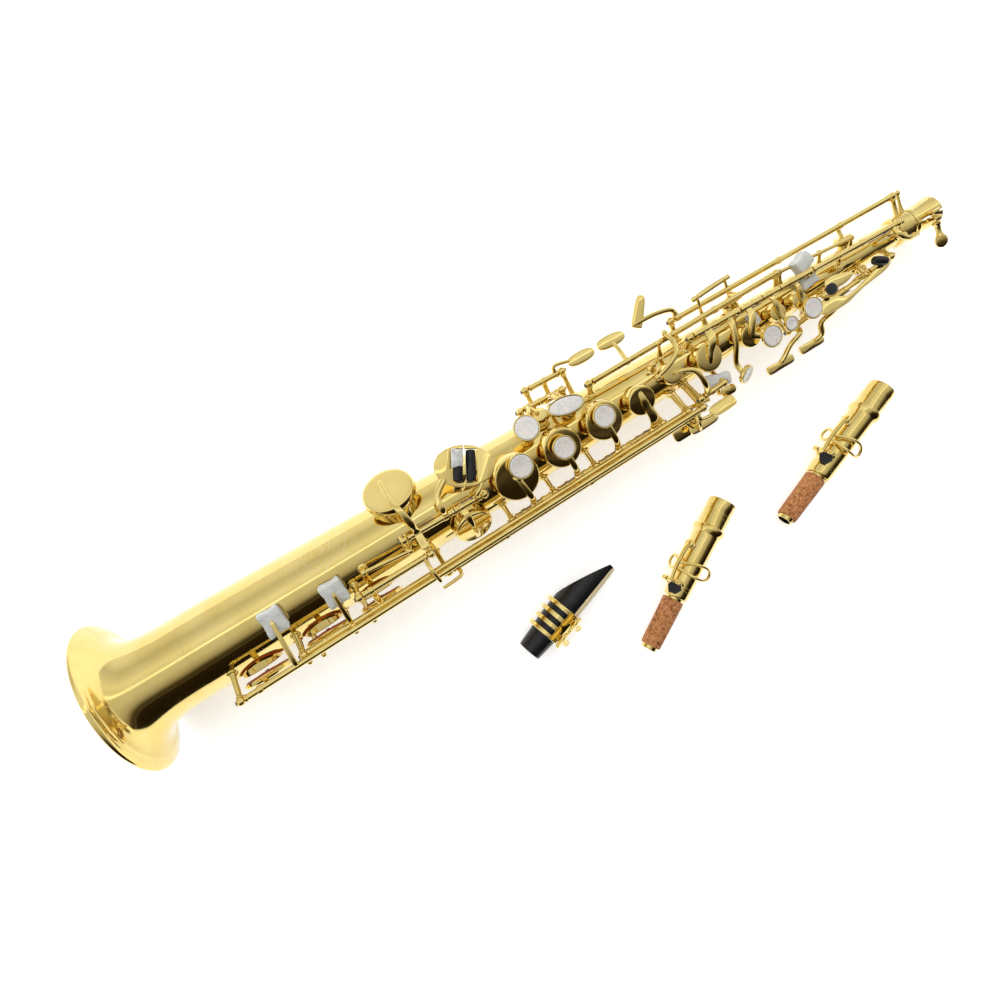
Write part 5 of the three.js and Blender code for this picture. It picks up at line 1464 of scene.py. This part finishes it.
def mouthpiece():
    g = loose([208.5, -107.0], [279.8, -83.4], 13.0, -68)
    body = soften([(0, 0), (0, 7.6), (0.9, 7.8), (6, 8.2), (13, 8.8), (19, 9.5), (24, 9.9), (36, 10.2), (75, 10.2), (75, 0)], 0.5, 3)
    o = solid_object("mp", spin(body, (0, 0, 0), (1, 0, 0), 96))
    cuts = [solid_object("c1", slab((62.5, 0, -11.25), (1, 0, 0.449), (0, 1, 0), rect(64, 30, 1), 22, 0.05)),
            solid_object("c2", slab((50, 0, 13.1), (1, 0, 0.012), (0, 1, 0), rect(70, 30, 1), 10, 0.05)),
            solid_object("c3", spin([(-1, 0), (-1, 6.9), (0.3, 6.7), (26, 6.7), (26, 0)], (0, 0, 0), (1, 0, 0), 48)),
            solid_object("c4", rod((20, 0, 0.4), (52, 0, 2.0), 4.6, 40, 0)),
            solid_object("c5", slab((50, 0, 6.6), (1, 0, 0.02), (0, 1, 0), rect(25, 9.5, 2.5), 8, 0.1))]
    # narrow the beak towards the tip
    for s in (-1, 1):
        cuts.append(solid_object("c6", slab((66, s * 17.2, 0), (1, -s * 0.16, 0), (0, 1, 0), rect(60, 14, 1), 40, 0.05)))
    o = boolean(o, cuts, "DIFFERENCE")
    k = Mesh()
    k.add((np.array([v.co for v in o.data.vertices]), [list(p.vertices) for p in o.data.polygons]))
    bpy.data.objects.remove(o)
    fine("mouthpiece", k, ("ebonite",), xf=g, angle=28)
    r = Mesh()
    # reed: flat back, bark side domed, thinning to the tip
    v, f, rows = [], [], []
    xs = np.linspace(-27, 28.8, 40)
    for x in xs:
        t = (x + 27) / 55.8
        half = 5.3 + 1.1 * t
        if x > 25:
            half *= math.sqrt(max(0.02, 1 - ((x - 25) / 3.85) ** 2 * 0.75))
        thick = 1.2 if x < 2 else max(0.18, 1.2 - (x - 2) / 26.8 * 1.05)
        row = []
        for j in range(-8, 9):
            y = half * j / 8
            row.append(len(v))
            v.append((46.4 + x, y, 8.5))
        for j in range(8, -9, -1):
            y = half * j / 8
            edge = 1 - 0.35 * abs(j / 8) ** 3
            row.append(len(v))
            v.append((46.4 + x, y, 8.5 + thick * edge))
        rows.append(row)
    for a, b in zip(rows, rows[1:]):
        n = len(a)
        for i in range(n):
            j = (i + 1) % n
            f.append([a[i], a[j], b[j], b[i]])
    f.append(rows[0])
    f.append(rows[-1])
    r.add((v, f))
    fine("reed", r, ("cane",), xf=g)
    # ligature: slotted band, lugs
    band = solid_object("lig", spin(soften([(14.5, 11.3), (14.5, 12.1), (14.9, 12.4), (15.8, 12.4), (16.2, 12.2), (34.4, 12.8), (34.8, 13.05), (35.6, 13.05), (36, 12.8), (36, 12.1)], 0.12, 2), (0, 0, 0), (1, 0, 0), 96))
    cut = [solid_object("q", slab((25, 0, 13), (1, 0, 0), (0, 1, 0), rect(40, 3.0, 0.2), 6, 0.05))]
    for x in (18.9, 25.2, 31.5):
        cut.append(solid_object("q", slab((x, 0, -3.2), (1, 0, 0), (0, 1, 0), rect(3.6, 30, 1.6), 19.6, 0.05)))
    band = boolean(band, cut, "DIFFERENCE")
    lg = Mesh()
    lg.add((np.array([v.co for v in band.data.vertices]), [list(p.vertices) for p in band.data.polygons]))
    bpy.data.objects.remove(band)
    for x in (19, 31):
        for s in (-1, 1):
            c = A(x, s * 3.6, 13.6)
            lug = solid_object("lug", slab(c, (1, 0, 0), (0, 0, 1), closed_curve(rect(4.6, 5.2, 2.0), 40), 1.9, 0.3))
            lug = boolean(lug, [solid_object("hh", rod((x, -12, 14.2), (x, 12, 14.2), 1.25, 24, 0))], "DIFFERENCE")
            lg.add((np.array([v.co for v in lug.data.vertices]), [list(p.vertices) for p in lug.data.polygons]))
            bpy.data.objects.remove(lug)
    fine("ligature", lg, ("gold",), xf=g)
    for name, x in (("ligature_screw_front", 31), ("ligature_screw_rear", 19)):
        s = Mesh()
        s.add(spin([(-6.4, 0), (-6.4, 0.95), (5.1, 0.95), (5.1, 1.9), (6.0, 2.1), (7.4, 1.6), (8.4, 1.8), (8.6, 0)], (x, 0, 14.2), (0, 1, 0), 28, 0.15))
        s.add(slab((x, 11.6, 14.2), (0, 1, 0), (1, 0, 0), closed_curve([(-3.8, -1.4), (-2.6, -4.2), (0.4, -5.8), (3.4, -5.4), (4.6, -3.2), (3.2, -1.0), (2.6, 0), (3.2, 1.0), (4.6, 3.2), (3.4, 5.4), (0.4, 5.8), (-2.6, 4.2), (-3.8, 1.4)], 84), 2.2, 0.8, 0.15))
        fine(name, s, ("key",), xf=g)


mouthpiece()

# ------------------------------------------------------------------ packing foam tucked under the keys
def foam(name, body, c, u, v, lu, lv, t, seed, crown=0.7):
    rng = np.random.default_rng(seed)
    a, b = lu / 2, lv / 2
    base = [(-a, -b), (-a * 0.3, -b * 1.04), (a * 0.5, -b * 0.97), (a, -b * 0.9), (a * 1.05, 0), (a * 0.95, b), (a * 0.2, b * 0.96), (-a * 0.55, b * 1.04), (-a, b * 0.93), (-a * 0.95, 0.1 * b)]
    pts = [(x + rng.uniform(-0.2, 0.2), y + rng.uniform(-0.2, 0.2)) for x, y in base]
    k = Mesh().add(slab(c, u, v, closed_curve(pts, 84), t, 1.0, crown))
    p = np.array(k.v)
    q = p * 1.45
    w = 0.055 * (np.sin(q[:, 0] + 1.3 * q[:, 1]) + np.sin(1.7 * q[:, 1] - q[:, 2] + seed) + 0.6 * np.sin(2.9 * q[:, 0] - 1.9 * q[:, 2]))
    mid = p.mean(0)
    d = p - mid
    p = p + d / np.maximum(np.linalg.norm(d, axis=1, keepdims=True), 1e-6) * w[:, None]
    k.v = p.tolist()
    make(name, body, k, ("foam",), slot="none", angle=60)


def lean(deg):
    # v axis along the tube wall at this angle, u along the tube
    return (1, 0, 0), (0, math.cos(rad(deg)), -math.sin(rad(deg)))


u0, v0 = lean(-15)
foam("foam_low_bb", "low_bb", (96.4, -7.2, 27.6), u0, v0, 12.0, 14.6, 5.4, 3)
u0, v0 = lean(-24)
foam("foam_low_b", "low_b", (131.2, -11.2, 26.2), u0, v0, 12.6, 14.2, 5.4, 5)
foam("foam_side_block", "body", (478.2, 13.0, 15.6), (0.88, 0.36, 0.1), (-0.36, 0.88, 0.2), 11.6, 9.6, 8.6, 7)
foam("foam_side_wedge", "body", (477.2, 1.4, 14.6), (0.99, 0.04, 0.1), (-0.04, 0.99, -0.1), 11.6, 7.6, 3.0, 9)
foam("foam_touch_block", "low_c", (226.9, 17.2, 34.7), u45, v45, 6.2, 9.8, 2.4, 11, 0.4)
foam("foam_g_slab", "body", (391.8, -21.8, 12.4), (0.95, -0.3, 0), (0.28, 0.92, 0.28), 17.0, 7.6, 3.4, 13)
foam("foam_a_wedge", "body", (430.0, -1.4, 17.4), (0.98, 0.1, 0.05), (-0.1, 0.98, 0.1), 7.0, 8.0, 3.2, 15)

# ------------------------------------------------------------------ fixed small fittings on the body
def foot_of(p, q):
    # small turned foot from the tube wall up to a rod
    p = A(*p)
    s = tube_r(p[0])
    n = unit(A(0, p[1], p[2]))
    return n * 0 + A(p[0], n[1] * (s - 0.4), n[2] * (s - 0.4))


def small_post(k, p, head=2.1, stem=1.15):
    p = A(*p)
    b = foot_of(p, 0)
    h = float(np.linalg.norm(p - b))
    if h < 1.5:
        return
    d = (p - b) / h
    k.add(spin([(0, 0), (0, 2.9), (0.7, 3.0), (1.1, 2.0), (h * 0.5, stem), (h - head * 0.8, stem * 0.95), (h - head * 0.8, 0)], b, d, 28, 0.2))
    k.add(ball(p, head, 28))


k = Mesh()
a, b = A(150.7, -10.4, 27.6), A(178.2, -13.3, 26.6)
k.add(rod(a, b, 1.25, 24, 0.3))
for p in (a, b):
    small_post(k, p, 1.95, 1.1)
make("guide_rod_low_cs", "body", k, ("gold",))

k = Mesh()
a, b = A(463.6, 15.4, 14.2), A(519.4, 10.8, 12.6)
k.add(rod(a, b, 1.2, 24, 0.3))
for t in (0.0, 0.55, 1.0):
    small_post(k, a + (b - a) * t, 2.0, 1.15)
make("long_rod_side_rear", "body", k, ("gold",))

k = Mesh()
a, b = A(404.0, 27.9, 15.0), A(432.6, 29.3, 14.6)
k.add(sweep([a, (a + b) / 2 + A(0, 0.3, 0.3), b], [3.2, 3.4, 3.0], [2.0, 2.0, 2.0], up=(0, 0, 1)))
for t in (0.12, 0.88):
    small_post(k, a + (b - a) * t, 1.7, 1.1)
make("guard_bar_side", "body", k, ("gold",))

k = Mesh()
for c, r in (((554.6, 3.0, 13.4), 2.2), ((553.0, -5.6, 11.4), 2.5), ((568.0, 20.6, 8.0), 2.0)):
    small_post(k, c, r, 1.15)
for c in ((97.2, -37.4, 8.0), (105.9, -38.0, 8.0), (127.9, -36.6, 8.0), (139.9, -36.6, 8.0)):
    small_post(k, c, 1.7, 0.95)
for c in ((358.4, 6.0, 20.4), (368.8, 15.5, 19.4), (387.1, 9.3, 21.4), (274.0, 22.6, 19.6)):
    small_post(k, c, 1.9, 1.05)
make("ball_fittings", "body", k, ("gold",))

# link between the side rod and the little finger lever
k = Mesh()
k.add(sweep([A(374.6, 18.9, 21.0), A(374.0, 12.0, 25.8), A(372.2, 5.7, 27.4), A(364.0, 1.0, 27.6), A(354.6, -2.0, 26.6)], [2.4, 3.0, 3.4, 3.0, 2.2], [1.8, 1.9, 2.0, 1.9, 1.7], up=(0, 0, 1)))
k.add(ball((374.6, 18.9, 20.8), 1.9, 24))
k.add(ball((354.4, -2.1, 26.4), 1.8, 24))
make("side_link", "body", k, ("gold",))

# ------------------------------------------------------------------ blued needle springs along the hinge lines
k = Mesh()
for line, x0, x1, off in (("lower_stack", 240.6, 258.0, (0, 1.6, 3.0)), ("lower_stack", 271.0, 289.0, (0, 1.6, 3.0)), ("lower_stack", 301.0, 318.0, (0, 1.6, 3.0)), ("lower_stack", 347.4, 329.0, (0, 1.6, 3.0)),
                          ("upper_stack", 387.4, 404.0, (0, -2.6, 1.4)), ("upper_stack", 422.4, 436.0, (0, -2.6, 1.4)), ("upper_stack", 474.4, 458.0, (0, -2.6, 1.4)), ("upper_stack", 546.4, 522.0, (0, -2.4, 1.2)),
                          ("low_c_eb", 180.4, 199.0, (0, 2.6, 1.4)), ("low_c_eb", 228.4, 214.0, (0, 2.6, 1.4)), ("palm", 489.2, 503.0, (0, -2.2, 1.2)), ("palm", 538.0, 526.0, (0, -2.2, 1.2))):
    p, q = at(line, x0) + A(0, 0, 0.4), at(line, x1) + A(*off)
    k.add(sweep([p, (p * 0.6 + q * 0.4) + A(*off) * 0.35, q], [0.78, 0.72, 0.5], [0.78, 0.72, 0.5], n=8))
make("needle_springs", "body", k, ("steel",), slot="steel")

# ------------------------------------------------------------------ little finger table fittings
k = Mesh()
k.add(rod((363.6, -27.4, 8.4), (383.0, -29.4, 8.2), 1.5, 24, 0.3))
k.add(spin([(-1.1, 0), (-1.1, 6.4), (-0.5, 7.2), (0.5, 7.2), (1.1, 6.4), (1.1, 0)], (367.6, -36.4, 7.4), (1, 0.02, 0.05), 64, 0.25))
k.add(spin([(-1.7, 0), (-1.7, 2.4), (1.7, 2.4), (1.7, 0)], (367.6, -36.4, 7.4), (1, 0.02, 0.05), 36, 0.3))
make("table_roller", "body", k, ("gold",))

# ------------------------------------------------------------------ palm plate dressings
k = Mesh()
k.add(slab((492.0, -8.0, 18.6), (0.995, -0.1, 0.02), (0.1, 0.99, 0), closed_curve([(-10.4, -0.4), (-8.0, -3.4), (-2.0, -4.3), (5.0, -3.2), (10.4, -0.6), (9.0, 1.6), (3.0, 3.2), (-3.0, 3.9), (-8.4, 2.8)], 84), 1.3, 0.5, 0.5))
make("palm_leaf", "palm_f", k, ("gold",))
k = Mesh()
k.add(spin([(0, 0), (0, 3.2), (0.6, 3.7), (2.4, 3.6), (3.0, 2.9), (3.2, 0)], (483.0, -10.6, 19.4), (0, -0.1, 1), 48, 0.3))
make("felt_bumper", "palm_f", k, ("felt",), slot="none")
k = Mesh()
k.add(spin([(-5.0, 0), (-5.0, 1.8), (-4.4, 2.5), (-2.0, 2.9), (2.0, 2.9), (4.4, 2.5), (5.0, 1.8), (5.0, 0)], (523.2, -11.4, 18.6), (0.86, -0.5, 0), 48, 0.25))
make("palm_roller", "palm_f", k, ("roller",), slot="roller")

# dark cushion under each neck lever
for name, g, L in (("neck_a", gA, 108.3), ("neck_b", gB, 113.6)):
    k = Mesh()
    hexagon = [(4.6 * math.cos(rad(60 * i + 30)), 4.6 * math.sin(rad(60 * i + 30))) for i in range(6)]
    c, up = A(L - 65.5, 3.2 * -1.0, 8.6), A(0, -0.36, 0.93)
    k.add(slab(c + up * 1.0, (1, 0, 0), (0, 0.93, 0.36), hexagon, 2.8, 0.35, 0.3))
    make(name + "_cushion", name, k, ("satin",), slot="thumb_rest_plastic", xf=g)



# ------------------------------------------------------------------ floor, light, camera
def stage():
    pts = [(-6, -6), (6, -6), (6, 6), (-6, 6)]
    me = bpy.data.meshes.new("floor")
    n = 24
    vs, fs = [], []
    for i in range(n + 1):
        for j in range(n + 1):
            vs.append((-6 + 12 * i / n, -6 + 12 * j / n, -0.0004))
    for i in range(n):
        for j in range(n):
            a = i * (n + 1) + j
            fs.append((a, a + n + 1, a + n + 2, a + 1))
    me.from_pydata(vs, [], fs)
    o = bpy.data.objects.new("floor", me)
    bpy.context.scene.collection.objects.link(o)

    def b_floor(nt, b):
        v = coords(nt)
        f = noise(nt, v, 60, 4)
        nt.links.new(ramp(nt, f, [(0.3, (0.93, 0.93, 0.93)), (0.7, (0.96, 0.96, 0.96))]), b.inputs["Base Color"])
        b.inputs["Roughness"].default_value = 0.9
        b.inputs["Emission Color"].default_value = (1, 1, 1, 1)
        b.inputs["Emission Strength"].default_value = 0.42
        bump(nt, b, f, 0.02, 0.0002)
    me.materials.append(mat("pale_floor", b_floor))


def area(name, loc, target, size, energy, color=(1, 1, 1), size_y=None):
    L = bpy.data.lights.new(name, "AREA")
    L.energy = energy
    L.color = color
    L.size = size
    if size_y:
        L.shape = "RECTANGLE"
        L.size_y = size_y
    o = bpy.data.objects.new(name, L)
    bpy.context.scene.collection.objects.link(o)
    o.location = loc
    o.visible_glossy = False
    o.rotation_mode = "QUATERNION"
    o.rotation_quaternion = (Vector(target) - Vector(loc)).to_track_quat("-Z", "Y")
    return o


stage()
w = bpy.data.worlds.new("studio")
bpy.context.scene.world = w
w.use_nodes = True
nt = w.node_tree
nt.nodes.clear()
out = nt.nodes.new("ShaderNodeOutputWorld")
bg = nt.nodes.new("ShaderNodeBackground")
nt.links.new(bg.outputs[0], out.inputs[0])
tc = nt.nodes.new("ShaderNodeTexCoord")
sep = nt.nodes.new("ShaderNodeSeparateXYZ")
nt.links.new(tc.outputs["Generated"], sep.inputs[0])
# the room is dark low down on the side of the loose pieces and bright on the other side and overhead
side = remap(nt, sep.outputs["Y"], -1.0, 1.0, 0.0, 1.0)
roomY = ramp(nt, side, [(0.0, (0.012, 0.008, 0.004)), (0.15, (0.022, 0.015, 0.008)), (0.17, (0.10, 0.08, 0.06)), (0.19, (0.03, 0.02, 0.012)), (0.225, (0.10, 0.085, 0.06)), (0.30, (0.44, 0.42, 0.38)), (0.42, (0.66, 0.65, 0.63)), (0.55, (0.72, 0.72, 0.70)), (0.575, (1.9, 1.9, 1.86)), (0.60, (0.86, 0.86, 0.85)), (0.70, (0.98, 0.98, 0.97)), (0.82, (0.74, 0.74, 0.73)), (0.90, (0.64, 0.63, 0.60)), (1.0, (0.95, 0.95, 0.94))])
nt.links.new(roomY, bg.inputs[0])
bg.inputs[1].default_value = 1.0

area("key_light", (0.2, 1.3, 1.9), (0, 0, 0), 2.2, 13, (1, 0.99, 0.97), 1.6)
area("top_light", (-0.5, 0.0, 2.3), (0, 0, 0), 2.0, 7, (1, 1, 1), 1.6)
area("fill_light", (0.3, -1.6, 1.8), (0, 0, 0), 1.8, 4, (1, 1, 1), 1.2)

cam_d = bpy.data.cameras.new("camera")
cam_d.lens = 24.44
cam_d.sensor_width = 36.0
cam_d.clip_start, cam_d.clip_end = 0.01, 50
cam = bpy.data.objects.new("camera", cam_d)
bpy.context.scene.collection.objects.link(cam)
right, down, fwd = A(0.84641, -0.52162, 0.10721), A(-0.51749, -0.85318, -0.06555), A(0.12566, 0, -0.99207)
cols = np.stack([ROT @ right, ROT @ -down, ROT @ -fwd], 1)
m4 = Matrix.Identity(4)
for i in range(3):
    for j in range(3):
        m4[i][j] = float(cols[i, j])
    m4[i][3] = float(world(A(187.791, -15.167, 408.488))[0][i])
cam.matrix_world = m4
bpy.context.scene.camera = cam

bpy.context.scene.view_settings.view_transform = "Standard"
bpy.context.view_layer.update()
